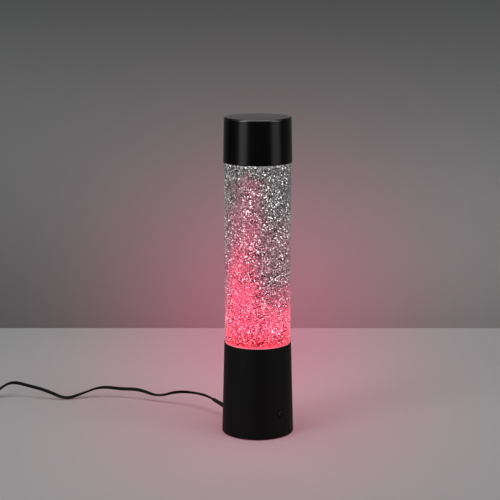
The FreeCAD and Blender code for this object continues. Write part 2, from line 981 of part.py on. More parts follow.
def motor_lead():
    end_z = button_height + board_height / 2 - 1 - connector_height / 2
    socket = -board_back + connector_depth
    x = -connector_spread
    beside = -terminal_thickness / 2 - wire_radius
    points = [
        (x, socket, end_z),
        (x, socket + wire_bend, end_z),
        (-terminal_spread, beside - wire_drop, can_bottom - terminal_length - wire_drop),
        (-terminal_spread, beside - wire_gap, can_bottom - terminal_length - terminal_thickness),
        (-terminal_spread, beside - fit, motor_bottom - slip),
    ]
    return tube(smooth_route(points)[0], wire_radius, wire_sides)


def light_lead():
    end_z = button_height + board_height / 2 - 1 - connector_height / 2
    socket = -board_back + connector_depth
    x, y = ribbon_way
    points = [
        (connector_spread, socket, end_z),
        (connector_spread, socket + ribbon_bend, end_z),
        (x - ribbon_radius, y + ribbon_lean, end_z + ribbon_rise),
        (x, y, deck_bottom - ribbon_drop),
        (x, y, light_board_bottom),
    ]
    return tube(smooth_route(points)[0], ribbon_radius, wire_sides)


def cord():
    along = Vector(gland_tail).normalize()
    exit_point = Vector(*gland_tail_end) + along * lead_exit_run
    path, radii = smooth_route([gland_tail_end, exit_point] + lead_route)
    body = tube(path, lead_radius)
    section = tube_section(lead_radius)
    print("cord length", round(path.Length, 1), "radii", [round(r, 1) for r in radii])
    print("cord volume over section times length", round(body.Volume / (section * path.Length), 4))
    return body, path.Length


def half_turn(place, heading, radius):
    """A level half circle to the right of the heading."""
    right = Vector(heading.y, -heading.x, 0)
    centre = place + right * radius
    end = centre + right * radius
    return Part.Arc(place, centre + heading * radius, end).toShape(), end


def climbing_half_turn(place, heading, radius, rise):
    """Two quarter arcs, tangent to each other and level at both ends, that climb one layer."""
    right = Vector(heading.y, -heading.x, 0)
    across = right * (2 * radius) + Vector(0, 0, rise)
    reach = across.Length / 2
    joint = place + across / 2 + heading * reach
    end = place + across
    edges = []
    for start, finish, tangent, sense in ((place, joint, heading, 1), (end, joint, heading, -1)):
        corner = start + tangent * reach
        toward = (start - corner).normalize() + (finish - corner).normalize()
        middle = corner + toward.normalize() * (reach * math.sqrt(2) - reach)
        if sense == 1:
            edges.append(Part.Arc(start, middle, finish).toShape())
        else:
            edges.append(Part.Arc(finish, middle, start).toShape())
    return edges, end


def coil_path():
    """Level half turns that spiral in, one climbing half turn, and half turns that spiral out."""
    place = Vector(*lead_route[-1])
    heading = (place - Vector(*lead_route[-2])).normalize()
    end_run = 2 * lead_radius
    edges = [Part.LineSegment(place, place + heading * end_run).toShape()]
    place = place + heading * end_run
    radius = coil_radius
    for _ in range(turns_in):
        edge, place = half_turn(place, heading, radius)
        edges.append(edge)
        heading = heading * -1
        radius -= turn_pitch / 2
    climb, place = climbing_half_turn(place, heading, radius, turn_pitch)
    edges += climb
    heading = heading * -1
    for _ in range(turns_out):
        radius += turn_pitch / 2
        edge, place = half_turn(place, heading, radius)
        edges.append(edge)
        heading = heading * -1
    edges.append(Part.LineSegment(place, place + heading * end_run).toShape())
    return Part.Wire(edges), place + heading * end_run, heading


def least_gap(path, thickness, step):
    """The least clear distance between stretches of the path that aren't neighbours."""
    points = path.discretize(Distance=step)
    apart = int(math.pi * thickness * 1.5 / step)
    best = 1e9
    for i, p in enumerate(points):
        for q in points[i + apart:]:
            best = min(best, p.distanceToPoint(q))
    return best - thickness


def cord_coil():
    path, end, heading = coil_path()
    body = tube(path, lead_radius)
    section = tube_section(lead_radius)
    print("coil length", round(path.Length, 1), "least gap", round(least_gap(path, 2 * lead_radius, 1.5), 2))
    print("coil volume over section times length", round(body.Volume / (section * path.Length), 4))
    return body, path.Length


def tail_points():
    path, end, heading = coil_path()
    return [tuple(end)] + tail_route


def cord_tail():
    path, radii = smooth_route(tail_points())
    body = tube(path, lead_radius)
    print("tail length", round(path.Length, 1), "radii", [round(r, 1) for r in radii])
    return body, path.Length


def on_plug(shape):
    """Moves a shape made along +X from the origin to the end of the tail, along its last run."""
    before, end = [Vector(*p) for p in tail_points()[-2:]]
    run = end - before
    run.z = 0
    shape.rotate(Vector(0, 0, 0), Vector(0, 0, 1), math.degrees(math.atan2(run.y, run.x)))
    shape.translate(end)
    return shape


def plug_relief():
    cone = Part.makeCone(
        lead_radius + 0.35, relief_end_radius, relief_length, Vector(0, 0, 0), Vector(1, 0, 0)
    )
    return on_plug(cone)


def plug_grip():
    start = relief_length
    body = block(
        start, start + grip_length, -grip_width / 2, grip_width / 2, -grip_thickness / 2, grip_thickness / 2
    )
    body = body.makeChamfer(grip_corner, body.Edges)
    return on_plug(body)


def plug_shell():
    start = relief_length + grip_length
    w = shell_width / 2
    t = shell_thickness / 2
    body = block(start, start + shell_length, -w, w, -t, t)
    inner = block(start, start + shell_length, -w + shell_wall, w - shell_wall, -t + shell_wall, t - shell_wall)
    body = body.cut(inner)
    for y in (-shell_width / 4, shell_width / 4):
        window = block(start + 5, start + 7.5, y - 1, y + 1, 0, t + 1)
        body = body.cut(window)
    return on_plug(body)


def plug_tongue():
    start = relief_length + grip_length
    w = shell_width / 2 - shell_wall - fit
    top = shell_thickness / 2 - shell_wall - fit
    body = block(start, start + shell_length - tongue_inset, -w, w, -top, -top + tongue_thickness)
    return on_plug(body)


def plug_contacts():
    start = relief_length + grip_length
    seat = -(shell_thickness / 2 - shell_wall - fit) + tongue_thickness
    made = []
    for i in range(contact_count):
        y = (i - (contact_count - 1) / 2) * contact_pitch
        bar = block(
            start, start + shell_length - 2 * tongue_inset, y - contact_width / 2, y + contact_width / 2,
            seat, seat + contact_thickness,
        )
        made.append(on_plug(bar))
    return Part.Compound(made)


save("base_housing", base_housing())
save("base_cover", base_cover())
save("rubber_feet", rubber_feet())
save("cover_screws", screws(column_places, cover_bottom + counterbore_depth, cover_top + screw_length))
save("drive_deck", drive_deck())
save("deck_screws", screws(column_places, deck_top, deck_top - deck_screw_length))
save("motor_can", motor_can())
save("motor_end", motor_end())
save("motor_terminals", motor_terminals())
save("motor_bushes", motor_bushes())
save("motor_screws", motor_screws())
save("field_magnet", field_magnet())
save("motor_armature", motor_armature())
save("motor_shaft", motor_shaft())
save("magnet_carrier", magnet_carrier())
save("drive_magnets", drive_magnets())
save("light_board", light_board())
save("light_board_screws", screws(standoff_places, light_board_top, deck_top))
save("red_light", light(0))
save("green_light", light(1))
save("blue_light", light(2))
save("tank_floor", tank_floor())
save("tank_tube", tank_tube())
save("liquid", liquid())
save("glitter", flakes(0))
save("lid_gasket", ring(tank_radius - lid_inset, tube_inner, tube_top, lid_bottom))
save("tank_lid", tank_lid())
save("fill_plug", fill_plug())
save("cap", cap())
save("stirrer", stirrer())
save("stirrer_magnets", stirrer_magnets())
save("stirrer_pin", stirrer_pin())
save("pin_retainer", pin_retainer())
save("push_button", push_button())
save("switch_plunger", switch_plunger())
save("switch_body", switch_body())
save("control_board", control_board())
save("control_board_screws", control_board_screws())
save("control_chip", control_chip())
save("board_connectors", board_connectors())
save("inner_lead", inner_lead())
save("motor_lead", motor_lead())
save("light_lead", light_lead())
save("cord_clamp", cord_clamp())
save("clamp_screws", clamp_screws())
save("cord_gland", cord_gland())
free_lead, free_length = cord()
save("cord", free_lead)
coil, coil_length = cord_coil()
save("cord_coil", coil)
tail, tail_length = cord_tail()
save("cord_tail", tail)
print("whole free lead", round(free_length + coil_length + tail_length, 1))
save("plug_relief", plug_relief())
save("plug_grip", plug_grip())
save("plug_shell", plug_shell())
save("plug_tongue", plug_tongue())
save("plug_contacts", plug_contacts())
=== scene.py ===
"""A glitter lamp: black base and cap, and a clear tank of liquid and silver flakes lit pink from below."""

import json
import math

import bmesh
import bpy
import numpy as np
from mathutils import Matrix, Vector


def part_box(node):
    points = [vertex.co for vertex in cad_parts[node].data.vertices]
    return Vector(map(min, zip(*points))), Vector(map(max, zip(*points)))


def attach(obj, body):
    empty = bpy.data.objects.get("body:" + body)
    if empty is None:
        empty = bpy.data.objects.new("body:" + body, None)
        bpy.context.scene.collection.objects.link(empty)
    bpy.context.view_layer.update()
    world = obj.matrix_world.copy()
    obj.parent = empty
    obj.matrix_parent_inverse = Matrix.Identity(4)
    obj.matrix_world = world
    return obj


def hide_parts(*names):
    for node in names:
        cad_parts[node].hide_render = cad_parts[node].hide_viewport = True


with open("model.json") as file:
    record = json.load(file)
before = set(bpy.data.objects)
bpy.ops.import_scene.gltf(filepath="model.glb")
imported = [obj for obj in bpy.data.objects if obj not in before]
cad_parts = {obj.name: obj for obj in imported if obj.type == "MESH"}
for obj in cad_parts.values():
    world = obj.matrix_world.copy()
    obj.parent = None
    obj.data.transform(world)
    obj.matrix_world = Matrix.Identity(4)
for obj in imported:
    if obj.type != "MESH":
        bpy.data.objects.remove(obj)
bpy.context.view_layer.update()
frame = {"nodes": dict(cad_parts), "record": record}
nodes = frame["nodes"]

# Camera, in metres with its lens in millimetres: it stands to the left of the push button and looks
# a little down, and the lamp's place is a share of the picture's width
VIEW_TURN = math.radians(40)
CAMERA_AWAY = 1.677
CAMERA_HEIGHT = 0.5607
CAMERA_TILT = math.radians(11.42)
LENS = 104.1
SENSOR_WIDTH = 36
NEAREST = 0.05
FURTHEST = 50
LAMP_RIGHT_OF_MIDDLE = 7.71 / 500


def seen(right, away, up):
    """A point given as the photograph sees it, from the lamp's foot, in the lamp's own frame."""
    x = right * math.cos(VIEW_TURN) + away * math.sin(VIEW_TURN)
    y = -right * math.sin(VIEW_TURN) + away * math.cos(VIEW_TURN)
    return Vector((x, y, up))


def link(obj):
    """Puts an object into the scene."""
    bpy.context.scene.collection.objects.link(obj)
    return obj


def aimed(forward):
    """The turn of a camera or lamp that looks along a direction, with +Z upwards."""
    return forward.to_track_quat("-Z", "Y")


def make_camera():
    """The photograph's camera; a sideways shift puts the lamp right of the picture's middle."""
    data = bpy.data.cameras.new("camera")
    data.lens = LENS
    data.sensor_width = SENSOR_WIDTH
    data.shift_x = -LAMP_RIGHT_OF_MIDDLE
    data.clip_start = NEAREST
    data.clip_end = FURTHEST
    camera = link(bpy.data.objects.new("camera", data))
    camera.location = seen(0, -CAMERA_AWAY, CAMERA_HEIGHT)
    camera.rotation_mode = "QUATERNION"
    camera.rotation_quaternion = aimed(seen(0, math.cos(CAMERA_TILT), -math.sin(CAMERA_TILT)))
    bpy.context.scene.camera = camera


make_camera()


# Meshes from whole arrays
def mesh_object(name, places, faces, smooth=True):
    """A mesh from whole arrays of places and of faces with the same number of corners."""
    data = bpy.data.meshes.new(name)
    corners = faces.shape[1]
    data.vertices.add(len(places))
    data.vertices.foreach_set("co", np.ascontiguousarray(places, np.float32).ravel())
    data.loops.add(faces.size)
    data.loops.foreach_set("vertex_index", np.ascontiguousarray(faces, np.int32).ravel())
    data.polygons.add(len(faces))
    data.polygons.foreach_set("loop_start", np.arange(0, faces.size, corners, dtype=np.int32))
    data.polygons.foreach_set("use_smooth", np.full(len(faces), smooth))
    data.update(calc_edges=True)
    data.validate()
    return link(bpy.data.objects.new(name, data))


def unit(vectors):
    """Each row of an array, scaled to a length of one."""
    return vectors / np.linalg.norm(vectors, axis=1, keepdims=True)


def grid_places(rows, columns):
    """The row and the column of each place in a grid, as two flat arrays."""
    row, column = np.indices((rows, columns))
    return row.ravel(), column.ravel()


def spaced_angles(count):
    """Angles that share a whole turn evenly, from nought."""
    return np.linspace(0, 2 * math.pi, count, endpoint=False)


# Free lead, in metres: the same route as the solids'
LEAD_RADIUS = 0.00155
LEAD_SIDES = 20
LEAD_HALF_THICKNESS = 0.00127
GROOVE_DEPTH = 0.22
GROOVE_WIDTH = 0.4
# Half the width, and the twist in degrees, as (distance from the gland, value)
LEAD_HALF_WIDTH = [(0.0, 0.0015), (0.020, 0.0022), (0.310, 0.0022), (0.350, 0.0016), (1.2, 0.0016)]
LEAD_TWIST = [
    (0.0, 0), (0.030, 10), (0.062, 36), (0.090, 12), (0.1255, 70), (0.158, 48), (0.184, 0), (0.211, 38),
    (0.224, 40), (0.248, 85), (0.275, 88), (0.301, 12), (0.345, 0), (1.2, 0),
]
GLAND_END = (0.0, 0.086, 0.0171)
LEAD_ROUTE = [
    (0.0, 0.09986, 0.01909),
    (-0.004, 0.123, 0.0185),
    (-0.014, 0.146, 0.0163),
    (-0.026, 0.169, 0.0062),
    (-0.038, 0.193, 0.0131),
    (-0.052, 0.215, 0.011),
    (-0.071, 0.233, 0.0141),
    (-0.092, 0.244, 0.0062),
    (-0.114, 0.251, 0.0008),
    (-0.129, 0.270, 0.0107),
    (-0.144, 0.292, 0.0156),
    (-0.159, 0.308, 0.0205),
    (-0.173, 0.316, 0.0119),
    (-0.188, 0.312, 0.0032),
    (-0.200, 0.303, 0.0016),
    (-0.208, 0.293, 0.0016),
]
TAIL_ROUTE = [(-0.2268, 0.2752, 0.00515), (-0.237, 0.259, 0.004), (-0.245, 0.246, 0.004)]
COIL_RADIUS = 0.0227
TURN_PITCH = 0.00355
TURNS_IN = 7
TURNS_OUT = 6
POINTS_IN_HALF_TURN = 8
STEPS_IN_SPAN = 6


def coil_points(start, heading):
    """Half turns to the right that spiral in, one that climbs a layer, and half turns that spiral out.

    Each half turn is a row of control points a little outside a half circle, so the spline lies on it.
    """
    points = []
    place = start
    radius = COIL_RADIUS
    outside = 1 / math.cos(math.pi / (2 * POINTS_IN_HALF_TURN))
    for turn in range(TURNS_IN + 1 + TURNS_OUT):
        climb = TURN_PITCH if turn == TURNS_IN else 0.0
        if turn > TURNS_IN:
            radius += TURN_PITCH / 2
        right = Vector((heading.y, -heading.x, 0))
        centre = place + right * radius
        for step in range(POINTS_IN_HALF_TURN):
            angle = math.pi * (step + 0.5) / POINTS_IN_HALF_TURN
            across = -right * (radius * outside * math.cos(angle))
            along = heading * (radius * outside * math.sin(angle))
            lift = Vector((0, 0, climb * (1 - math.cos(angle)) / 2))
            points.append(centre + across + along + lift)
        place = centre + right * radius + Vector((0, 0, climb))
        heading = -heading
        if turn < TURNS_IN:
            radius -= TURN_PITCH / 2
    return points, place, heading


def route_line():
    """The points of the lead's spline, from the gland's end to the plug: route, coil and tail."""
    route = [Vector(p) for p in [GLAND_END] + LEAD_ROUTE]
    heading = (route[-1] - route[-2]).normalized()
    end_run = heading * (2 * LEAD_RADIUS)
    coil, end, heading = coil_points(route[-1] + end_run, heading)
    points = route + coil + [end + heading * (2 * LEAD_RADIUS)]
    points += [Vector(p) for p in TAIL_ROUTE]
    data = bpy.data.curves.new("lead_route", "CURVE")
    data.dimensions = "3D"
    data.resolution_u = STEPS_IN_SPAN
    spline = data.splines.new("NURBS")
    spline.points.add(len(points) - 1)
    for point, place in zip(spline.points, points):
        point.co = (*place, 1)
    spline.order_u = 3
    spline.use_endpoint_u = True
    holder = link(bpy.data.objects.new("lead_route", data))
    bpy.context.view_layer.update()
    traced = bpy.data.meshes.new_from_object(holder)
    line = np.empty(3 * len(traced.vertices))
    traced.vertices.foreach_get("co", line)
    bpy.data.objects.remove(holder)
    bpy.data.curves.remove(data)
    bpy.data.meshes.remove(traced)
    return line.reshape(-1, 3)


def eased(distance, stations):
    """Values at the stations, given as (distance, value), joined by half waves of a cosine."""
    at, value = np.array(stations).T
    step = np.clip(np.searchsorted(at, distance) - 1, 0, len(at) - 2)
    share = np.clip((distance - at[step]) / (at[step + 1] - at[step]), 0, 1)
    return value[step] + (value[step + 1] - value[step]) * (1 - np.cos(math.pi * share)) / 2


def make_lead(line):
    """The free lead: a flat twin section carried along its line, which turns over as it lies loose.

    A point of the section is (width cos a, thickness sin a (1 - depth e^-(cos a / groove width)^2)),
    turned by the lead's twist about the line, from the level direction across it to the upright one.
    """
    ahead = unit(np.gradient(line, axis=0))
    across = unit(np.cross(ahead, (0, 0, 1)))
    upright = np.cross(across, ahead)
    steps = np.linalg.norm(np.diff(line, axis=0), axis=1)
    distance = np.concatenate([[0.0], np.cumsum(steps)])
    twist = np.radians(eased(distance, LEAD_TWIST))[:, None]
    angle = spaced_angles(LEAD_SIDES)[None, :]
    groove = 1 - GROOVE_DEPTH * np.exp(-((np.cos(angle) / GROOVE_WIDTH) ** 2))
    wide = eased(distance, LEAD_HALF_WIDTH)[:, None] * np.cos(angle)
    thick = LEAD_HALF_THICKNESS * np.sin(angle) * groove
    level = wide * np.cos(twist) - thick * np.sin(twist)
    raised = wide * np.sin(twist) + thick * np.cos(twist)
    rings = line[:, None] + level[:, :, None] * across[:, None] + raised[:, :, None] * upright[:, None]
    places = np.concatenate([rings.reshape(-1, 3), line[:1], line[-1:]])
    ring, side = grid_places(len(line) - 1, LEAD_SIDES)
    beside = (side + 1) % LEAD_SIDES
    here = ring * LEAD_SIDES
    after = here + LEAD_SIDES
    walls = np.concatenate(
        [
            np.stack([here + side, here + beside, after + beside], axis=1),
            np.stack([here + side, after + beside, after + side], axis=1),
        ]
    )
    corner = np.arange(LEAD_SIDES)
    next_corner = (corner + 1) % LEAD_SIDES
    first, last = len(line) * LEAD_SIDES + np.array([0, 1])
    end_ring = (len(line) - 1) * LEAD_SIDES
    start_cap = np.stack([next_corner, corner, np.full(LEAD_SIDES, first)], axis=1)
    end_cap = np.stack([end_ring + corner, end_ring + next_corner, np.full(LEAD_SIDES, last)], axis=1)
    return mesh_object("lead", places, np.concatenate([walls, start_cap, end_cap]))


lead_line = route_line()
lead = make_lead(lead_line)

# Node helpers, and the places of the colour sockets on a Mix node
MIX_SHARE, MIX_FIRST, MIX_SECOND, MIX_RESULT = 0, 6, 7, 2


def add(tree, kind, inputs=None, **settings):
    """A new node; a socket among its inputs is linked, any other value is set."""
    made = tree.nodes.new(kind)
    for name, value in settings.items():
        setattr(made, name, value)
    for name, value in (inputs or {}).items():
        if isinstance(value, bpy.types.NodeSocket):
            tree.links.new(value, made.inputs[name])
        else:
            made.inputs[name].default_value = value
    return made


def math_node(tree, operation, *values, clamp=False):
    """The result of an operation on sockets and plain values."""
    inputs = dict(enumerate(values))
    return add(tree, "ShaderNodeMath", inputs, operation=operation, use_clamp=clamp).outputs[0]


def spread(tree, value, low, high, to_low=0.0, to_high=1.0):
    """The value carried from one range to another with soft ends."""
    inputs = {"Value": value, "From Min": low, "From Max": high, "To Min": to_low, "To Max": to_high}
    return add(tree, "ShaderNodeMapRange", inputs, interpolation_type="SMOOTHSTEP").outputs["Result"]


def bell(tree, value, middle, width):
    """A bell curve: e to the power of minus the square of the distance from the middle, in widths."""
    away = math_node(tree, "SUBTRACT", value, middle)
    away = math_node(tree, "DIVIDE", away, width)
    square = math_node(tree, "MULTIPLY", away, away)
    return math_node(tree, "EXPONENT", math_node(tree, "MULTIPLY", square, -1.0))


def blend_colours(tree, share, first, second, mode="MIX"):
    """Two colours mixed by a share, or joined in the way that the mode names."""
    inputs = {MIX_SHARE: share, MIX_FIRST: first, MIX_SECOND: second}
    return add(tree, "ShaderNodeMix", inputs, data_type="RGBA", blend_type=mode).outputs[MIX_RESULT]


def tinted(tree, value, colour):
    """A colour times a single value."""
    tint = add(tree, "ShaderNodeCombineColor", {"Red": value, "Green": value, "Blue": value})
    return blend_colours(tree, 1.0, colour, tint.outputs["Color"], "MULTIPLY")


def object_place(tree):
    """The place on the piece itself."""
    return add(tree, "ShaderNodeTexCoord").outputs["Object"]


def axes(tree, place):
    """A place's X, Y and Z."""
    split = add(tree, "ShaderNodeSeparateXYZ", {"Vector": place})
    return [split.outputs[axis] for axis in "XYZ"]


def seen_axes(tree, place):
    """A place as the photograph sees it: right, away and up."""
    turned = add(tree, "ShaderNodeMapping", {"Vector": place, "Rotation": (0, 0, VIEW_TURN)})
    return axes(tree, turned.outputs[0])


def noise(tree, place, scale, detail):
    """Soft noise between 0 and 1."""
    inputs = {"Vector": place, "Scale": scale, "Detail": detail}
    return add(tree, "ShaderNodeTexNoise", inputs).outputs["Fac"]


def centred(tree, value):
    """Noise moved to lie about zero."""
    return math_node(tree, "SUBTRACT", value, 0.5)


def cell_tones(tree, place, scale):
    """An uneven pattern of cells, each with its own tone between 0 and 1."""
    inputs = {"Vector": place, "Scale": scale, "Randomness": 1.0}
    cells = add(tree, "ShaderNodeTexVoronoi", inputs)
    return add(tree, "ShaderNodeSeparateColor", {"Color": cells.outputs["Color"]}).outputs["Red"]


def bumped(tree, height, depth):
    """The normal of a surface that a height pattern raises by a depth."""
    inputs = {"Height": height, "Distance": depth, "Strength": 1.0}
    return add(tree, "ShaderNodeBump", inputs).outputs["Normal"]


def new_group(name, inputs, outputs):
    """An empty node group with float inputs, and outputs given as (name, kind)."""
    tree = bpy.data.node_groups.new(name, "ShaderNodeTree")
    for label, value in inputs:
        made = tree.interface.new_socket(label, in_out="INPUT", socket_type="NodeSocketFloat")
        made.default_value = value
    for label, kind in outputs:
        tree.interface.new_socket(label, in_out="OUTPUT", socket_type="NodeSocket" + kind)
    return tree, tree.nodes.new("NodeGroupInput"), tree.nodes.new("NodeGroupOutput")


def put_out(tree, out, **values):
    """Links a group's results to its outputs, by name."""
    for name, value in values.items():
        tree.links.new(value, out.inputs[name])


def grey(value):
    """A grey colour."""
    return (value, value, value, 1.0)


# Surface effects that many materials share
SKIN_OUTPUTS = [("Shade", "Float"), ("Roughness", "Float"), ("Normal", "Vector")]
CLOUDING = (0.2, 0.8)
SWELL_SCALE = 0.45
SWELL_GLOSS = 0.1
SKIN_CLOUDS = 38.0
SKIN_SHADES = (0.9, 1.1)
METAL_CLOUDS = 160.0
METAL_SHADES = (0.88, 1.0)
METAL_UNEVENNESS = 0.06
LINES_STRETCH = (0.04, 0.04, 1.0)


def moulded_skin():
    """Moulded plastic: a fine spark-eroded grain, with slow changes of gloss and of shade.

    The grain's height is a pattern of smooth cells plus a swell of about twice their size. The gloss
    drifts by slow noise times Unevenness, and by a tenth of the swell.
    """
    tree, given, out = new_group(
        "moulded_skin",
        [("Grain Size", 0.0004), ("Grain Depth", 0.00002), ("Roughness", 0.5), ("Unevenness", 0.06)],
        SKIN_OUTPUTS,
    )
    place = object_place(tree)
    scale = math_node(tree, "DIVIDE", 1.0, given.outputs["Grain Size"])
    pits = add(tree, "ShaderNodeTexVoronoi", {"Vector": place, "Scale": scale}, feature="SMOOTH_F1")
    swell = noise(tree, place, math_node(tree, "MULTIPLY", scale, SWELL_SCALE), 3.0)
    height = math_node(tree, "ADD", pits.outputs["Distance"], swell)
    slow = noise(tree, place, SKIN_CLOUDS, 4.0)
    drift = math_node(tree, "MULTIPLY", centred(tree, slow), given.outputs["Unevenness"])
    fine = math_node(tree, "MULTIPLY", centred(tree, swell), SWELL_GLOSS)
    rough = math_node(tree, "ADD", given.outputs["Roughness"], drift)
    rough = math_node(tree, "ADD", rough, fine, clamp=True)
    shade = spread(tree, slow, *CLOUDING, *SKIN_SHADES)
    normal = bumped(tree, height, given.outputs["Grain Depth"])
    put_out(tree, out, Shade=shade, Roughness=rough, Normal=normal)
    return tree


def worked_metal():
    """Metal with fine turning lines round Z, slow clouding and a soft change of gloss.

    The lines are noise that is drawn out along X and Y, and slow noise moves the gloss and the shade.
    """
    tree, given, out = new_group(
        "worked_metal",
        [("Line Size", 0.0003), ("Line Depth", 0.000004), ("Roughness", 0.3)],
        SKIN_OUTPUTS,
    )
    place = object_place(tree)
    flat = add(tree, "ShaderNodeMapping", {"Vector": place, "Scale": LINES_STRETCH}).outputs[0]
    scale = math_node(tree, "DIVIDE", 1.0, given.outputs["Line Size"])
    normal = bumped(tree, noise(tree, flat, scale, 2.0), given.outputs["Line Depth"])
    slow = noise(tree, place, METAL_CLOUDS, 3.0)
    drift = spread(tree, slow, *CLOUDING, -METAL_UNEVENNESS, METAL_UNEVENNESS)
    rough = math_node(tree, "ADD", given.outputs["Roughness"], drift, clamp=True)
    shade = spread(tree, slow, *CLOUDING, *METAL_SHADES)
    put_out(tree, out, Shade=shade, Roughness=rough, Normal=normal)
    return tree


# The tank's light: heights in metres, and colours in the linear sense
TANK_LOW = 0.113
TANK_HIGH = 0.3254
RIM_LINE = 0.1113
GLITTER_RADIUS = 0.035
FLOOR_RED = (0.82, 0.035, 0.075, 1)
STRONG_PINK = (0.83, 0.098, 0.186, 1)
UNLIT = (0.072, 0.064, 0.067, 1)
FAINT_ROSE = (0.072, 0.064, 0.085, 1)
SURFACE = (0.27, 0.25, 0.255, 1)

# Where it shines, by Left and Height: bells are (middle, width), and ramps are (from, to)
LEAN_BELL = (0.65, 0.50)
LOW_RISE, LOW_LEVEL = 0.21, 0.075
HIGH_RISE, HIGH_LEVEL = 0.26, 0.40
HAZE_RAMP = (-0.1, 0.4)
HAZE_STRENGTHS = (0.12, 0.20)
HAZE_TOP = (0.55, 0.78)
PLUME_BELL = (0.30, 0.45)
PLUME_STRENGTH = 0.22
PLUME_TOP = (0.86, 0.97)
SWAY_BELL = (0.80, 0.35)
SWAY_LEVEL_BELL = (0.715, 0.05)
SWAY_STRENGTH = 0.13
LEFT_EDGE = (0.70, 1.0)
LEFT_EDGE_LOSS = 0.45
LEFT_EDGE_FOOT = (0.14, 0.26)
FLOOR_RAMP = (0.015, 0.09)
SURFACE_RAMP = (0.983, 0.996)
ROSE_RAMP = (0.0, 0.22)

# How noise moves it: the noise's scale, and how far it shifts Left and Height
STIR_SCALE, STIR_LEFT, STIR_HEIGHT = 26.0, 0.30, -0.14
FRAY_SCALE, FRAY_LEFT, FRAY_HEIGHT = 110.0, 0.30, -0.12

# How much it sparkles
PATCH_SCALE = 60.0
PATCH_RAMP = (0.34, 0.64)
PATCH_CONTRASTS = (0.70, 1.36)
CALM_BELL = (0.75, 0.25)
CALM_RAMP = (0.2, 0.4)
CALM_LOSSES = (0.05, 0.24)
RIGHT_EDGE = (-0.98, -0.86)
RIGHT_EDGE_LOSS = 0.42
BUSY_FLOOR = (0.0, 0.2)
BUSY_FLOOR_GAIN = 0.35


def pink_share(tree, left, level):
    """How pink the light is, from 0 to 1.

    It falls from one to nothing between two levels, which stand higher by a bell over Left. A haze and
    a plume, which sways to the left at one level, lie over that, joined as a + b - ab, and less of it
    all reaches the left edge above the floor.
    """
    lean = bell(tree, left, *LEAN_BELL)
    low = math_node(tree, "MULTIPLY_ADD", lean, LOW_RISE, LOW_LEVEL)
    high = math_node(tree, "MULTIPLY_ADD", lean, HIGH_RISE, HIGH_LEVEL)
    strong = spread(tree, level, low, high, 1.0, 0.0)
    haze = spread(tree, left, *HAZE_RAMP, *HAZE_STRENGTHS)
    haze = math_node(tree, "MULTIPLY", haze, spread(tree, level, *HAZE_TOP, 1.0, 0.0))
    plume = math_node(tree, "MULTIPLY", bell(tree, left, *PLUME_BELL), PLUME_STRENGTH)
    plume = math_node(tree, "MULTIPLY", plume, spread(tree, level, *PLUME_TOP, 1.0, 0.0))
    sway_level = bell(tree, level, *SWAY_LEVEL_BELL)
    sway = math_node(tree, "MULTIPLY", bell(tree, left, *SWAY_BELL), sway_level)
    plume = math_node(tree, "MULTIPLY_ADD", sway, SWAY_STRENGTH, plume)
    over = math_node(tree, "ADD", haze, plume)
    share = math_node(tree, "MULTIPLY_ADD", strong, math_node(tree, "SUBTRACT", 1.0, over), over)
    edge = spread(tree, left, *LEFT_EDGE, 0.0, LEFT_EDGE_LOSS)
    edge = math_node(tree, "MULTIPLY", edge, spread(tree, level, *LEFT_EDGE_FOOT))
    return math_node(tree, "MULTIPLY", share, math_node(tree, "SUBTRACT", 1.0, edge), clamp=True)


def sparkle(tree, place, left, height):
    """How strongly light and dark flakes differ: busy and calm patches.

    Noise makes the patches. A bell over Left that grows with Height, and a ramp at the right edge, are
    taken off, and a ramp near the floor is added.
    """
    patches = spread(tree, noise(tree, place, PATCH_SCALE, 1.0), *PATCH_RAMP, *PATCH_CONTRASTS)
    calm = spread(tree, height, *CALM_RAMP, *CALM_LOSSES)
    calm = math_node(tree, "MULTIPLY", bell(tree, left, *CALM_BELL), calm)
    calm = math_node(tree, "ADD", calm, spread(tree, left, *RIGHT_EDGE, RIGHT_EDGE_LOSS, 0.0))
    busy = math_node(tree, "SUBTRACT", patches, calm)
    return math_node(tree, "ADD", busy, spread(tree, height, *BUSY_FLOOR, BUSY_FLOOR_GAIN, 0.0))


def lamp_glow():
    """Painted light in the liquid: red at the floor, pink above it, and a rose plume that climbs on one
    side.

    Left is the distance towards the photograph's left in shares of the glitter's radius, and Height
    runs from 0 at the floor to 1 at the liquid's top. Slow and fine noise moves both before Share is
    worked out. Contrast is the sparkle.
    """
    outputs = [("Color", "Color"), ("Share", "Float"), ("Contrast", "Float")]
    tree, _, out = new_group("lamp_glow", [], outputs)
    place = object_place(tree)
    right, _, up = seen_axes(tree, place)
    height = math_node(tree, "SUBTRACT", up, TANK_LOW)
    height = math_node(tree, "MULTIPLY", height, 1 / (TANK_HIGH - TANK_LOW))
    left = math_node(tree, "MULTIPLY", right, -1 / GLITTER_RADIUS)
    stir = centred(tree, noise(tree, place, STIR_SCALE, 3.0))
    fray = centred(tree, noise(tree, place, FRAY_SCALE, 3.0))
    moved_left = math_node(tree, "MULTIPLY_ADD", stir, STIR_LEFT, left)
    moved_left = math_node(tree, "MULTIPLY_ADD", fray, FRAY_LEFT, moved_left)
    level = math_node(tree, "MULTIPLY_ADD", stir, STIR_HEIGHT, height)
    level = math_node(tree, "MULTIPLY_ADD", fray, FRAY_HEIGHT, level)
    share = pink_share(tree, moved_left, level)
    dim = blend_colours(tree, spread(tree, share, *ROSE_RAMP), UNLIT, FAINT_ROSE)
    colour = blend_colours(tree, share, dim, STRONG_PINK)
    colour = blend_colours(tree, spread(tree, height, *FLOOR_RAMP, 1.0, 0.0), colour, FLOOR_RED)
    # Painted light: the liquid's top turns a paler grey
    colour = blend_colours(tree, spread(tree, height, *SURFACE_RAMP), colour, SURFACE)
    contrast = sparkle(tree, place, left, height)
    put_out(tree, out, Color=colour, Share=share, Contrast=contrast)
    return tree


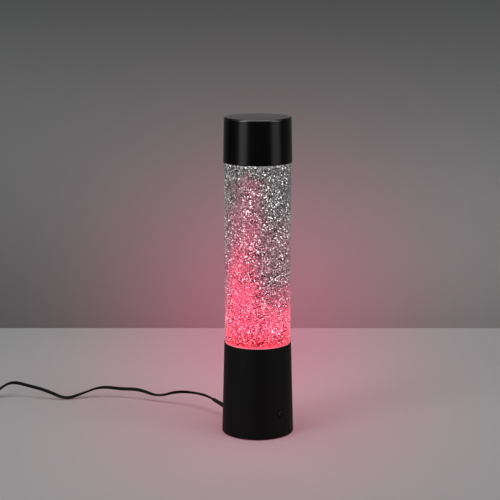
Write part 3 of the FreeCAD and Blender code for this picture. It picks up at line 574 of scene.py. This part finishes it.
GROUPS = {made.name: made for made in (moulded_skin(), worked_metal(), lamp_glow())}


# Materials, kept by the names that they are given
FINISHES = {}


def placed(tree, group, **inputs):
    """A copy of a shared effect in a material, with its own values."""
    made = tree.nodes.new("ShaderNodeGroup")
    made.node_tree = GROUPS[group]
    for name, value in inputs.items():
        made.inputs[name.replace("_", " ")].default_value = value
    return made


def new_material(name, **values):
    """A finish with one principled shader, whose plain values are given by socket name."""
    made = bpy.data.materials.new(name)
    made.use_nodes = True
    tree = made.node_tree
    tree.nodes.clear()
    shader = tree.nodes.new("ShaderNodeBsdfPrincipled")
    for label, value in values.items():
        shader.inputs[label.replace("_", " ")].default_value = value
    output = tree.nodes.new("ShaderNodeOutputMaterial")
    tree.links.new(shader.outputs[0], output.inputs["Surface"])
    FINISHES[name] = made
    return tree, shader


def shaded(tree, shader, colour, effect):
    """Joins a shared surface effect to a shader, its shade times the colour."""
    tree.links.new(tinted(tree, effect.outputs["Shade"], colour), shader.inputs["Base Color"])
    tree.links.new(effect.outputs["Roughness"], shader.inputs["Roughness"])
    tree.links.new(effect.outputs["Normal"], shader.inputs["Normal"])


def glowing(tree, shader, colour, strength=1.0):
    """Lets a shader give off a colour that changes over the surface."""
    tree.links.new(colour, shader.inputs["Emission Color"])
    shader.inputs["Emission Strength"].default_value = strength


def let_through(tree, shader, share, tint):
    """Mixes a shader with plain see-through by a share, and puts out the mixture."""
    through = add(tree, "ShaderNodeBsdfTransparent", {"Color": tint})
    either = add(tree, "ShaderNodeMixShader", {0: share, 1: shader.outputs[0], 2: through.outputs[0]})
    tree.links.new(either.outputs[0], tree.nodes["Material Output"].inputs["Surface"])


def plastic(name, colour, roughness, grain=0.0004, depth=0.00002, **values):
    """Moulded plastic or rubber, with the size and depth of its grain in metres."""
    tree, shader = new_material(name, **values)
    effect = placed(tree, "moulded_skin", Grain_Size=grain, Grain_Depth=depth, Roughness=roughness)
    shaded(tree, shader, (*colour, 1), effect)


def metal(name, colour, roughness, lines=0.0003, depth=0.000004):
    """Worked metal, with the size and depth of its turning lines in metres."""
    tree, shader = new_material(name, Metallic=1.0)
    effect = placed(tree, "worked_metal", Line_Size=lines, Line_Depth=depth, Roughness=roughness)
    shaded(tree, shader, (*colour, 1), effect)


def clear(name, tint, ior, mirror=1.0):
    """Clear plastic or liquid; light that only casts shadows passes straight through it."""
    tree, shader = new_material(
        name, Transmission_Weight=1.0, IOR=ior, Roughness=0.0, Base_Color=tint,
        Specular_Tint=grey(mirror),
    )
    shadow_only = add(tree, "ShaderNodeLightPath").outputs["Is Shadow Ray"]
    let_through(tree, shader, shadow_only, tint)
    return tree, shader


BLACK = (0.0026, 0.0026, 0.0028)
CAP_BLACK = (0.0012, 0.0012, 0.0013)
# The button's painted highlight: its grey, the button's middle height, and ramps in metres
BUTTON_HIGHLIGHT_GREY = (0.030, 0.030, 0.0305, 1)
BUTTON_HEIGHT = 0.030
HIGHLIGHT_RING_INNER = (0.0023, 0.0028)
HIGHLIGHT_RING_OUTER = (0.0031, 0.0033)
HIGHLIGHT_SIDE = (-0.0015, 0.0025)


def button_material():
    """The push button: moulded like the housing, with a painted highlight on the upper left of its rim.

    The painted highlight is a ring between an inner and an outer ramp, over the distance from the
    button's middle, times a ramp over the distance up and to the left.
    """
    tree, shader = new_material("button_black", Specular_IOR_Level=0.10)
    right, _, height = axes(tree, object_place(tree))
    up = math_node(tree, "SUBTRACT", height, BUTTON_HEIGHT)
    square = math_node(tree, "MULTIPLY_ADD", up, up, math_node(tree, "MULTIPLY", right, right))
    from_middle = math_node(tree, "SQRT", square)
    ring = spread(tree, from_middle, *HIGHLIGHT_RING_INNER)
    ring = math_node(tree, "MULTIPLY", ring, spread(tree, from_middle, *HIGHLIGHT_RING_OUTER, 1.0, 0.0))
    upper_left = spread(tree, math_node(tree, "SUBTRACT", up, right), *HIGHLIGHT_SIDE)
    painted_highlight = math_node(tree, "MULTIPLY", ring, upper_left)
    # Painted highlight: a paler grey on the upper left of the rim
    colour = blend_colours(tree, painted_highlight, (*BLACK, 1), BUTTON_HIGHLIGHT_GREY)
    effect = placed(tree, "moulded_skin", Grain_Size=0.00035, Grain_Depth=0.00001, Roughness=0.5)
    shaded(tree, shader, colour, effect)


# A flake's brightness, as a factor on the light round it; cell sizes are given as cells in a metre
CLOUD_CELLS = 900.0
BODY_RAMP = (0.10, 0.85)
DARKEST = 0.04
DARKEST_LIFT = 0.33
BRIGHTEST = 1.52
MIDDLE = 0.79
CALM_LIFT = 0.18
LEAST = 0.02
GLINT_RAMP = (0.88, 1.0)
GLINT_PINK = (1.0, 0.46, 0.56, 1)
PINK_LIGHT_ON_SILVER = (1.0, 0.18, 0.24)


def glitter_colours(tree, shader, tone, pale, gleam):
    """A flake's colours from its tone: low tones lie in shade, and those near one catch the light.

    The body runs from a darkest value, which is less dark in strong light, to a brightest. Its distance
    from a middle value, half the darkest plus a constant, is multiplied by Contrast. Calm patches are
    lifted a little, and the glint over it all is multiplied by Contrast too.
    """
    glow = placed(tree, "lamp_glow")
    light, share, contrast = [glow.outputs[name] for name in ("Color", "Share", "Contrast")]
    darkest = math_node(tree, "MULTIPLY_ADD", share, DARKEST_LIFT, DARKEST)
    middle = math_node(tree, "MULTIPLY_ADD", darkest, 0.5, MIDDLE)
    lift = math_node(tree, "MULTIPLY_ADD", contrast, -CALM_LIFT, CALM_LIFT)
    body = spread(tree, tone, *BODY_RAMP, darkest, BRIGHTEST)
    body = math_node(tree, "SUBTRACT", body, middle)
    body = math_node(tree, "MULTIPLY_ADD", body, contrast, math_node(tree, "ADD", middle, lift))
    body = math_node(tree, "MAXIMUM", body, LEAST)
    glint = math_node(tree, "MULTIPLY", spread(tree, tone, *GLINT_RAMP, 0.0, gleam), contrast)
    white = blend_colours(tree, share, grey(1.0), GLINT_PINK)
    soaked = tinted(tree, body, light)
    glowing(tree, shader, blend_colours(tree, 1.0, soaked, tinted(tree, glint, white), "ADD"))
    # The base colour: painted pink where the lamp's light is strong, and painted shade by the body
    pink_lit = (*(pale * part for part in PINK_LIGHT_ON_SILVER), 1)
    silver = blend_colours(tree, share, grey(pale), pink_lit)
    tree.links.new(tinted(tree, body, silver), shader.inputs["Base Color"])


def cloud_material():
    """The depths of the glitter: small cells, each turned to the light or away from it."""
    tree, shader = new_material("glitter_cloud", Roughness=0.6, Specular_IOR_Level=0.1)
    tone = cell_tones(tree, object_place(tree), CLOUD_CELLS)
    glitter_colours(tree, shader, tone, pale=0.09, gleam=0.9)


def flake_material():
    """Silver flakes whose tone sets painted shade and glint; near the lamp they take its colour."""
    tree, shader = new_material("silver_flakes", Metallic=1.0, Roughness=0.3)
    tone = add(tree, "ShaderNodeAttribute", attribute_name="tone", attribute_type="GEOMETRY")
    glitter_colours(tree, shader, tone.outputs["Fac"], pale=0.60, gleam=2.5)


# Tints of the tank floor, and its painted glow: a pink line at the rim, pink flecks, faint red above
FLOOR_TINT = (0.98, 0.80, 0.82, 1)
RIM_TINT = (0.16, 0.02, 0.03, 1)
RIM_PINK = (1.0, 0.34, 0.44, 1)
FLECK_PINK = (1.0, 0.30, 0.38, 1)
UPSTAND_RED = (0.055, 0.004, 0.007, 1)
RIM_SOFTNESS = 0.0003
UPSTAND_FOOT = TANK_LOW - 0.0002
UPSTAND_START = TANK_LOW + 0.0004
FLOOR_CELLS = 1000.0
FLECK_RAMP = (0.7, 1.0)
FLOOR_TONES = (0.0, 0.6, 0.35, 1.0)


def glowing_floor_material():
    """The clear floor of the tank: a bright rim, red light with flakes over it, and a dark upstand."""
    tree, shader = clear("tank_floor_clear", FLOOR_TINT, 1.0)
    place = object_place(tree)
    _, _, height = axes(tree, place)
    # Painted glow: bright pink below the rim line, red with pink flecks up to the floor, faint red above
    tone = cell_tones(tree, place, FLOOR_CELLS)
    red = blend_colours(tree, spread(tree, tone, *FLECK_RAMP), FLOOR_RED, FLECK_PINK)
    flecked = tinted(tree, spread(tree, tone, *FLOOR_TONES), red)
    over_rim = spread(tree, height, RIM_LINE - RIM_SOFTNESS, RIM_LINE + RIM_SOFTNESS)
    light = blend_colours(tree, over_rim, RIM_PINK, flecked)
    upstand = spread(tree, height, UPSTAND_FOOT, UPSTAND_START)
    tree.links.new(blend_colours(tree, upstand, RIM_TINT, FLOOR_TINT), shader.inputs["Base Color"])
    glowing(tree, shader, blend_colours(tree, upstand, light, UPSTAND_RED))


LENS_SPOTS = 500.0


def lens_material(name, colour, power):
    """A tinted lens that glows, whitish in cloudy spots."""
    colour = (*colour, 1)
    tree, shader = new_material(
        name, Base_Color=colour, Roughness=0.12, Transmission_Weight=0.6, IOR=1.5
    )
    spots = noise(tree, object_place(tree), LENS_SPOTS, 2.0)
    glowing(tree, shader, blend_colours(tree, spots, colour, grey(1.0)), power)


# Every finish: those of the record's slots have the slots' names
plastic("black_moulding", BLACK, 0.55, 0.00035, 0.00002, Specular_IOR_Level=0.10)
plastic("black_cap", CAP_BLACK, 0.25, 0.0005, 0.000004, Specular_IOR_Level=0.14)
clear("clear_acrylic", grey(0.99), 1.45, mirror=0.2)
clear("glitter_liquid", grey(0.97), 1.0)
clear("inner_wall", grey(0.99), 1.0)
plastic("cap_edge", CAP_BLACK, 0.2, 0.0005, 0.000002, Specular_IOR_Level=1.0)
# The cap's top has a lighter black than its side: painted light, with a soft sheen
plastic(
    "cap_top", (0.016, 0.016, 0.0165), 0.4, 0.0005, 0.000008, Specular_IOR_Level=0.3,
    Sheen_Weight=0.24, Sheen_Roughness=0.35, Sheen_Tint=(1.0, 0.90, 0.93, 1),
)
cloud_material()
flake_material()
glowing_floor_material()
button_material()
plastic("black_rubber", (0.006, 0.006, 0.006), 0.68, 0.0003, 0.000015, Specular_IOR_Level=0.2)
plastic("lead_jacket", (0.0015, 0.0015, 0.0016), 0.45, 0.0006, 0.000008, Specular_IOR_Level=0.08)
metal("zinc_steel", (0.62, 0.62, 0.58), 0.32)
metal("motor_steel", (0.60, 0.60, 0.60), 0.30)
metal("core_steel", (0.24, 0.24, 0.25), 0.42, 0.0005, 0.00002)
metal("ground_steel", (0.70, 0.70, 0.70), 0.18)
metal("sintered_bronze", (0.50, 0.33, 0.17), 0.5)
plastic("ferrite", (0.035, 0.035, 0.038), 0.6, 0.0003, 0.00002)
metal("plated_magnet", (0.72, 0.71, 0.68), 0.16)
plastic("white_moulding", (0.72, 0.72, 0.69), 0.42)
plastic("black_inner", (0.02, 0.02, 0.02), 0.5)
plastic("board_green", (0.012, 0.13, 0.045), 0.28, 0.0012, 0.00001)
plastic("chip_black", (0.015, 0.015, 0.015), 0.55, 0.0002, 0.00001)
lens_material("red_lens", (0.85, 0.05, 0.06), 1.5)
lens_material("green_lens", (0.06, 0.7, 0.15), 0.05)
lens_material("blue_lens", (0.06, 0.15, 0.85), 0.15)
metal("plug_steel", (0.72, 0.71, 0.68), 0.22)
metal("contact_gold", (0.85, 0.60, 0.22), 0.2)


def dress(obj, *finishes):
    """Gives an object its finishes, by name."""
    obj.data.materials.clear()
    for name in finishes:
        obj.data.materials.append(FINISHES[name])


for part in frame["record"]["subparts"]:
    dress(nodes[part["node"]], part["material_slot"])
dress(nodes["tank_floor"], "tank_floor_clear")
dress(nodes["push_button"], "button_black")


# Surfaces of revolution
def turned_grid(name, profile, around):
    """A closed surface of revolution: each (radius, height) point of a closed profile, turned about Z.

    Points on the axis come together in one pole. Also gives each face's place along the profile.
    """
    profile = np.asarray(profile, float)
    count = len(profile)
    angle = spaced_angles(around)
    x = np.outer(np.cos(angle), profile[:, 0])
    y = np.outer(np.sin(angle), profile[:, 0])
    z = np.broadcast_to(profile[:, 1], x.shape)
    places = np.stack([x, y, z], axis=-1).reshape(-1, 3)
    off_axis = np.flatnonzero((profile[:, 0] > 0) | (np.roll(profile[:, 0], -1) > 0))
    ring, place = grid_places(around, len(off_axis))
    step = off_axis[place]
    beside = (ring + 1) % around
    above = (step + 1) % count
    corners = [ring * count + step, beside * count + step, beside * count + above, ring * count + above]
    obj = mesh_object(name, places, np.stack(corners, axis=1))
    if not np.all(profile[:, 0] > 0):
        merge(obj)
    return obj, step


def merge(obj):
    """Brings points in the same place together."""
    shape = bmesh.new()
    shape.from_mesh(obj.data)
    bmesh.ops.remove_doubles(shape, verts=shape.verts, dist=1e-7)
    shape.to_mesh(obj.data)
    shape.free()


def arc(centre, radius, start, end, steps):
    """Points on an arc in the (radius, height) plane, angles in degrees from the outward direction."""
    angle = np.radians(np.linspace(start, end, steps))
    return np.stack([centre[0] + radius * np.cos(angle), centre[1] + radius * np.sin(angle)], axis=1)


AROUND = 256
TANK_WALL = 0.0024
TUBE_EDGE = 0.0002


def make_tank():
    """The clear tube: outer wall, rim, inner wall. The inner wall has the liquid's own index."""
    low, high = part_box("tank_tube")
    bottom, top = low[2], high[2]
    outer = high[0]
    inner = outer - TANK_WALL
    profile = [
        (outer - TUBE_EDGE, bottom), (outer, bottom + TUBE_EDGE), (outer, top - TUBE_EDGE),
        (outer - TUBE_EDGE, top), (inner, top), (inner, bottom),
    ]
    inner_wall = profile.index((inner, top))
    tank, step = turned_grid("clear_tank", profile, AROUND)
    dress(tank, "clear_acrylic", "inner_wall")
    tank.data.polygons.foreach_set("material_index", (step == inner_wall).astype(np.int32))
    return tank


tank = make_tank()
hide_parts("tank_tube")
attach(tank, "lamp")

# Glitter, in metres: the cloud in the depths, and three layers of flakes round it
CLOUD_RADIUS = 0.0346
CLOUD_AROUND = 128
CLOUD_ROWS = 60
CLOUD_FLOOR_GAP = 0.0004
CLOUD_TOP_GAP = 0.0006
CLOUD_LOWER_CORNER = 0.001
CLOUD_UPPER_CORNER = 0.002
HOLLOW_RADIUS = 0.0125
HOLLOW_HEIGHT = 0.012
FLAKE_CORNERS = 5
FLAKE_MARGIN = 0.001
FLAKE_RADII = (0.00044, 0.00084)
FLAKE_HALF_THICKNESS = 0.00004
FLAKE_JITTER = 0.42
FLAKE_FACING = 0.3
FLAKE_LEAN = 0.6
LAYER_HALF_DEPTH = 0.0003
UPSTAND_TOP = 0.1195
UPSTAND_ROOM = 0.0009
TONE_STEPS = (0.7549, 0.5698)
TONE_JITTER = 0.4


def make_cloud():
    """The dense middle of the glitter: an upright drum with a hollow over the stirrer."""
    low = TANK_LOW + CLOUD_FLOOR_GAP
    high = TANK_HIGH - CLOUD_TOP_GAP
    up = np.linspace(low + CLOUD_LOWER_CORNER, high - CLOUD_UPPER_CORNER, CLOUD_ROWS)
    profile = np.concatenate(
        [
            [(HOLLOW_RADIUS, low), (CLOUD_RADIUS - CLOUD_LOWER_CORNER, low)],
            np.stack([np.full(CLOUD_ROWS, CLOUD_RADIUS), up], axis=1),
            [(CLOUD_RADIUS - CLOUD_UPPER_CORNER, high), (0.0, high)],
            [(0.0, low + HOLLOW_HEIGHT), (HOLLOW_RADIUS, low + HOLLOW_HEIGHT)],
        ]
    )
    cloud, _ = turned_grid("glitter_cloud", profile, CLOUD_AROUND)
    dress(cloud, "glitter_cloud")
    return cloud


cloud = make_cloud()
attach(cloud, "lamp")


def make_flakes(name, radius, around, seed):
    """One layer of flakes: a jittered grid round the tank, each thin, five-cornered and leaning at random.

    A flake is a double pyramid with flat tips: its rim is centre + size (cos a side + sin a other), and
    its tips lie half a thickness out along its normal, the outward direction plus a random lean. Flakes
    beside the floor's upstand stand further in. Tones step by a fixed share from turn to turn and from
    row to row, plus a random part, so neighbours differ.
    """
    draw = np.random.default_rng(seed)
    cell = 2 * math.pi * radius / around
    rows = int((TANK_HIGH - TANK_LOW - 2 * FLAKE_MARGIN) / cell)
    turn, row = grid_places(around, rows)
    count = len(turn)
    jitter = (-FLAKE_JITTER, FLAKE_JITTER, count)
    angle = (turn + 0.5 * (row % 2) + draw.uniform(*jitter)) * 2 * math.pi / around
    z = TANK_LOW + FLAKE_MARGIN + (row + 0.5 + draw.uniform(*jitter)) * cell
    inward = np.where(z < UPSTAND_TOP, UPSTAND_ROOM, 0.0)
    away = radius - inward + draw.uniform(-LAYER_HALF_DEPTH, LAYER_HALF_DEPTH, count)
    outward = np.stack([np.cos(angle), np.sin(angle), np.zeros(count)], axis=1)
    centre = away[:, None] * outward
    centre[:, 2] = z
    size = draw.uniform(*FLAKE_RADII, count)
    normal = unit(FLAKE_FACING * outward + draw.normal(scale=FLAKE_LEAN, size=(count, 3)))
    side = unit(np.cross(normal, draw.normal(size=(count, 3))))
    other = np.cross(normal, side)
    corner = spaced_angles(FLAKE_CORNERS)[None, :, None]
    rim = (np.cos(corner) * side[:, None, :] + np.sin(corner) * other[:, None, :]) * size[:, None, None]
    tips = np.stack([normal, -normal], axis=1) * FLAKE_HALF_THICKNESS
    places = (centre[:, None, :] + np.concatenate([rim, tips], axis=1)).reshape(-1, 3)
    k = np.arange(FLAKE_CORNERS)
    after = (k + 1) % FLAKE_CORNERS
    upper = np.stack([k, after, np.full(FLAKE_CORNERS, FLAKE_CORNERS)], axis=1)
    lower = np.stack([after, k, np.full(FLAKE_CORNERS, FLAKE_CORNERS + 1)], axis=1)
    one = np.concatenate([upper, lower])
    stride = FLAKE_CORNERS + 2
    faces = (one[None, :, :] + (np.arange(count) * stride)[:, None, None]).reshape(-1, 3)
    flakes = mesh_object(name, places, faces, smooth=False)
    tone_turn, tone_row = TONE_STEPS
    tones = (tone_turn * turn + tone_row * row + draw.uniform(0, TONE_JITTER, count)) % 1
    tones = np.repeat(tones, stride).astype(np.float32)
    flakes.data.attributes.new("tone", "FLOAT", "POINT").data.foreach_set("value", tones)
    dress(flakes, "silver_flakes")
    return flakes


# Each layer's name, radius, number of flakes round the tank and seed
for name, radius, around, seed in (
    ("glitter_outer", 0.0359, 108, 11),
    ("glitter_middle", 0.0355, 108, 12),
    ("glitter_inner", 0.0351, 106, 13),
):
    flakes = make_flakes(name, radius, around, seed)
    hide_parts("glitter")
    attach(flakes, "lamp")

# Cap, in metres
CAP_TAPER = 0.00105
CAP_BEND = 0.0018
CAP_FOOT = 0.0003
CAP_ROOF = 0.002
CAP_WALL_LOW = 0.0022
CAP_WALL_HIGH = 0.0018
CAP_LIP_GAP = 0.0001
CAP_SIDE_SHARES = (0.02, 0.35, 0.65, 0.98)
CAP_TOP_SHARES = (0.66, 0.33, 0.0)
BEND_POINTS = 9


def make_cap():
    """The cap: a plain drum that narrows a little to its rounded upper edge, hollow below."""
    low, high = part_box("cap")
    bottom, top = low[2], high[2]
    wide = high[0]
    narrow = wide - CAP_TAPER
    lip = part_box("tank_tube")[1][0] + CAP_LIP_GAP
    roof = top - CAP_ROOF
    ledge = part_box("tank_lid")[1][2]
    foot = bottom + CAP_FOOT
    side_height = top - CAP_BEND - bottom - CAP_FOOT
    side = [(wide - CAP_TAPER * t, foot + side_height * t) for t in CAP_SIDE_SHARES]
    outside = [(lip, bottom), (wide - CAP_FOOT, bottom), (wide, foot)] + side
    profile = np.concatenate(
        [
            outside,
            arc((narrow - CAP_BEND, top - CAP_BEND), CAP_BEND, 0, 90, BEND_POINTS),
            [(narrow * share, top) for share in CAP_TOP_SHARES],
            [(0.0, roof), (narrow - CAP_WALL_HIGH, roof), (wide - CAP_WALL_LOW, ledge), (lip, ledge)],
        ]
    )
    cap, step = turned_grid("cap_shell", profile, AROUND)
    shoulder = len(outside)
    roof_edge = shoulder + BEND_POINTS - 1
    on_shoulder = (step >= shoulder) & (step < roof_edge)
    on_top = (step >= roof_edge) & (step < roof_edge + len(CAP_TOP_SHARES))
    dress(cap, "black_cap", "cap_edge", "cap_top")
    cap.data.polygons.foreach_set("material_index", (on_shoulder + 2 * on_top).astype(np.int32))
    return cap


cap = make_cap()
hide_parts("cap")
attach(cap, "lamp")

dress(lead, "lead_jacket")
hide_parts("cord", "cord_coil", "cord_tail")
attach(lead, "lamp")

# Studio, in metres and watts
STAGE_HALF = 6.0
BACKDROP_AWAY = 0.489
BACKDROP_HEIGHT = 4
STAGE_TINT = (0.965, 1.0, 1.0, 1)
# The tint of the floor's painted pink shade behind the lamp, and the pink of the painted glow
PINK_SHADE_TINT = (1.0, 0.80, 0.90, 1)
GLOW_PINK = (1.0, 0.07, 0.235, 1)
LAMP_PINK = (1.0, 0.14, 0.30)
TANK_LIGHTS = 8
TANK_LIGHT_AWAY = 0.056
TANK_LIGHT_HEIGHT = 0.15
TANK_LIGHT_RADIUS = 0.01
TANK_LIGHT_POWER = 0.02
WORLD_GREY = 0.55
WORLD_STRENGTH = 0.36

# The floor's light, by the distances to the right and away: bells and ramps as above
FLOOR_DEPTHS = (-0.45, 0.30)
FLOOR_GREYS = (0.332, 0.388)
PINK_SHADE_ACROSS = (0.0, 0.17)
PINK_SHADE_AWAY = (0.05, 0.42)
FLOOR_GLOW_ACROSS = (0.0, 0.205)
FLOOR_GLOW_AWAY = (0.30, 0.52)
FLOOR_GLOW = 0.25

# The backdrop's light, by the distance to the right and the height
BACKDROP_UP = (0.155, 0.36)
BACKDROP_GREY = 0.229
BACKDROP_LEAN_UP = (0.05, 0.42)
BACKDROP_LEANS = (0.80, 0.05)
BACKDROP_GLOW_ACROSS = (0.008, 0.212)
BACKDROP_GLOW_UP = (0.04, 0.20)
BACKDROP_GLOW = 0.224

# Soft boxes: name, place as the photograph sees it, the point that it faces, width, height and power
SOFT_BOXES = [
    ("strip_left", (-0.92, -0.77, 0.5), (0, 0, 0.5), 0.56, 1.3, 7.6),
    ("strip_right", (1.06, -0.56, 0.5), (0, 0, 0.5), 0.62, 1.3, 5.2),
    ("overhead", (0.0, -0.1, 1.9), (0, 0, 0), 1.8, 1.4, 21),
]


def stage_material(name):
    """A plain finish, with the place of each point as the photograph sees it: right, away and up."""
    tree, shader = new_material(name, Roughness=0.7, Specular_IOR_Level=0.2)
    return tree, shader, seen_axes(tree, object_place(tree))


def pink_glow(tree, shader, first, second, strength):
    """The lamp's light on a piece of the stage: two bell curves times a strength, times pink."""
    glow = math_node(tree, "MULTIPLY", first, second)
    glow = math_node(tree, "MULTIPLY", glow, strength)
    glowing(tree, shader, tinted(tree, glow, GLOW_PINK))


def floor_material():
    """A pale grey floor, a little darker towards the front, with the lamp's pink glow round its foot."""
    tree, shader, (right, away, _) = stage_material("floor_grey")
    # Painted shade: darker towards the front, and pinker and darker behind the lamp, towards the backdrop
    level = spread(tree, away, *FLOOR_DEPTHS, *FLOOR_GREYS)
    pink_shade = math_node(tree, "MULTIPLY", bell(tree, right, *PINK_SHADE_ACROSS), spread(tree, away, *PINK_SHADE_AWAY))
    tint = blend_colours(tree, pink_shade, STAGE_TINT, PINK_SHADE_TINT)
    tree.links.new(tinted(tree, level, tint), shader.inputs["Base Color"])
    across = bell(tree, right, *FLOOR_GLOW_ACROSS)
    pink_glow(tree, shader, across, bell(tree, away, *FLOOR_GLOW_AWAY), FLOOR_GLOW)


def backdrop_material():
    """A grey backdrop, seen from its front alone: darker at the top and on the left, with a pink glow."""
    tree, shader, (right, _, up) = stage_material("backdrop_grey")
    # Painted shade: a bell over the height, and a lean that darkens the left and lightens the right
    level = math_node(tree, "MULTIPLY", bell(tree, up, *BACKDROP_UP), BACKDROP_GREY)
    lean = spread(tree, up, *BACKDROP_LEAN_UP, *BACKDROP_LEANS)
    lean = math_node(tree, "MULTIPLY", right, lean)
    level = math_node(tree, "MULTIPLY_ADD", lean, level, level)
    tree.links.new(tinted(tree, level, STAGE_TINT), shader.inputs["Base Color"])
    across = bell(tree, right, *BACKDROP_GLOW_ACROSS)
    pink_glow(tree, shader, across, bell(tree, up, *BACKDROP_GLOW_UP), BACKDROP_GLOW)
    from_behind = add(tree, "ShaderNodeNewGeometry").outputs["Backfacing"]
    let_through(tree, shader, from_behind, grey(1.0))


def stage_sheet(name, corners, finish):
    """One four-cornered face of the stage."""
    sheet = mesh_object(name, np.array(corners), np.array([[0, 1, 2, 3]]), smooth=False)
    dress(sheet, finish)
    return sheet


def make_stage():
    """A pale floor, and a greyer backdrop behind it."""
    half = STAGE_HALF
    top = BACKDROP_HEIGHT
    level = [seen(x, y, 0) for x, y in ((-half, -half), (half, -half), (half, half), (-half, half))]
    upright = [seen(x, BACKDROP_AWAY, z) for x, z in ((-half, 0), (half, 0), (half, top), (-half, top))]
    floor_material()
    backdrop_material()
    floor = stage_sheet("floor", level, "floor_grey")
    wall = stage_sheet("backdrop", upright, "backdrop_grey")


make_stage()


def new_light(name, kind, place, power):
    """A light that the camera doesn't see, neither straight nor through clear pieces."""
    data = bpy.data.lights.new(name, kind)
    data.energy = power
    lamp = link(bpy.data.objects.new(name, data))
    lamp.location = place
    lamp.visible_camera = False
    lamp.visible_transmission = False
    return lamp


def soft_box(name, place, towards, width, height, power):
    """A white rectangle of light that faces a point."""
    lamp = new_light(name, "AREA", place, power)
    lamp.data.shape = "RECTANGLE"
    lamp.data.size = width
    lamp.data.size_y = height
    lamp.rotation_mode = "QUATERNION"
    lamp.rotation_quaternion = aimed(towards - place)


def make_lights():
    """Two strips at the sides, a soft light overhead, and a ring of weak pink lights round the tank."""
    for name, place, towards, width, height, power in SOFT_BOXES:
        soft_box(name, seen(*place), Vector(towards), width, height, power)
    for i in range(TANK_LIGHTS):
        angle = 2 * math.pi * i / TANK_LIGHTS
        place = (TANK_LIGHT_AWAY * math.cos(angle), TANK_LIGHT_AWAY * math.sin(angle), TANK_LIGHT_HEIGHT)
        lamp = new_light("tank_light", "POINT", place, TANK_LIGHT_POWER)
        lamp.data.color = LAMP_PINK
        lamp.data.shadow_soft_size = TANK_LIGHT_RADIUS
        lamp.visible_glossy = False
    world = bpy.data.worlds.new("studio")
    bpy.context.scene.world = world
    world.use_nodes = True
    background = world.node_tree.nodes["Background"]
    background.inputs["Color"].default_value = grey(WORLD_GREY)
    background.inputs["Strength"].default_value = WORLD_STRENGTH


make_lights()
bpy.context.scene.view_settings.view_transform = "Standard"
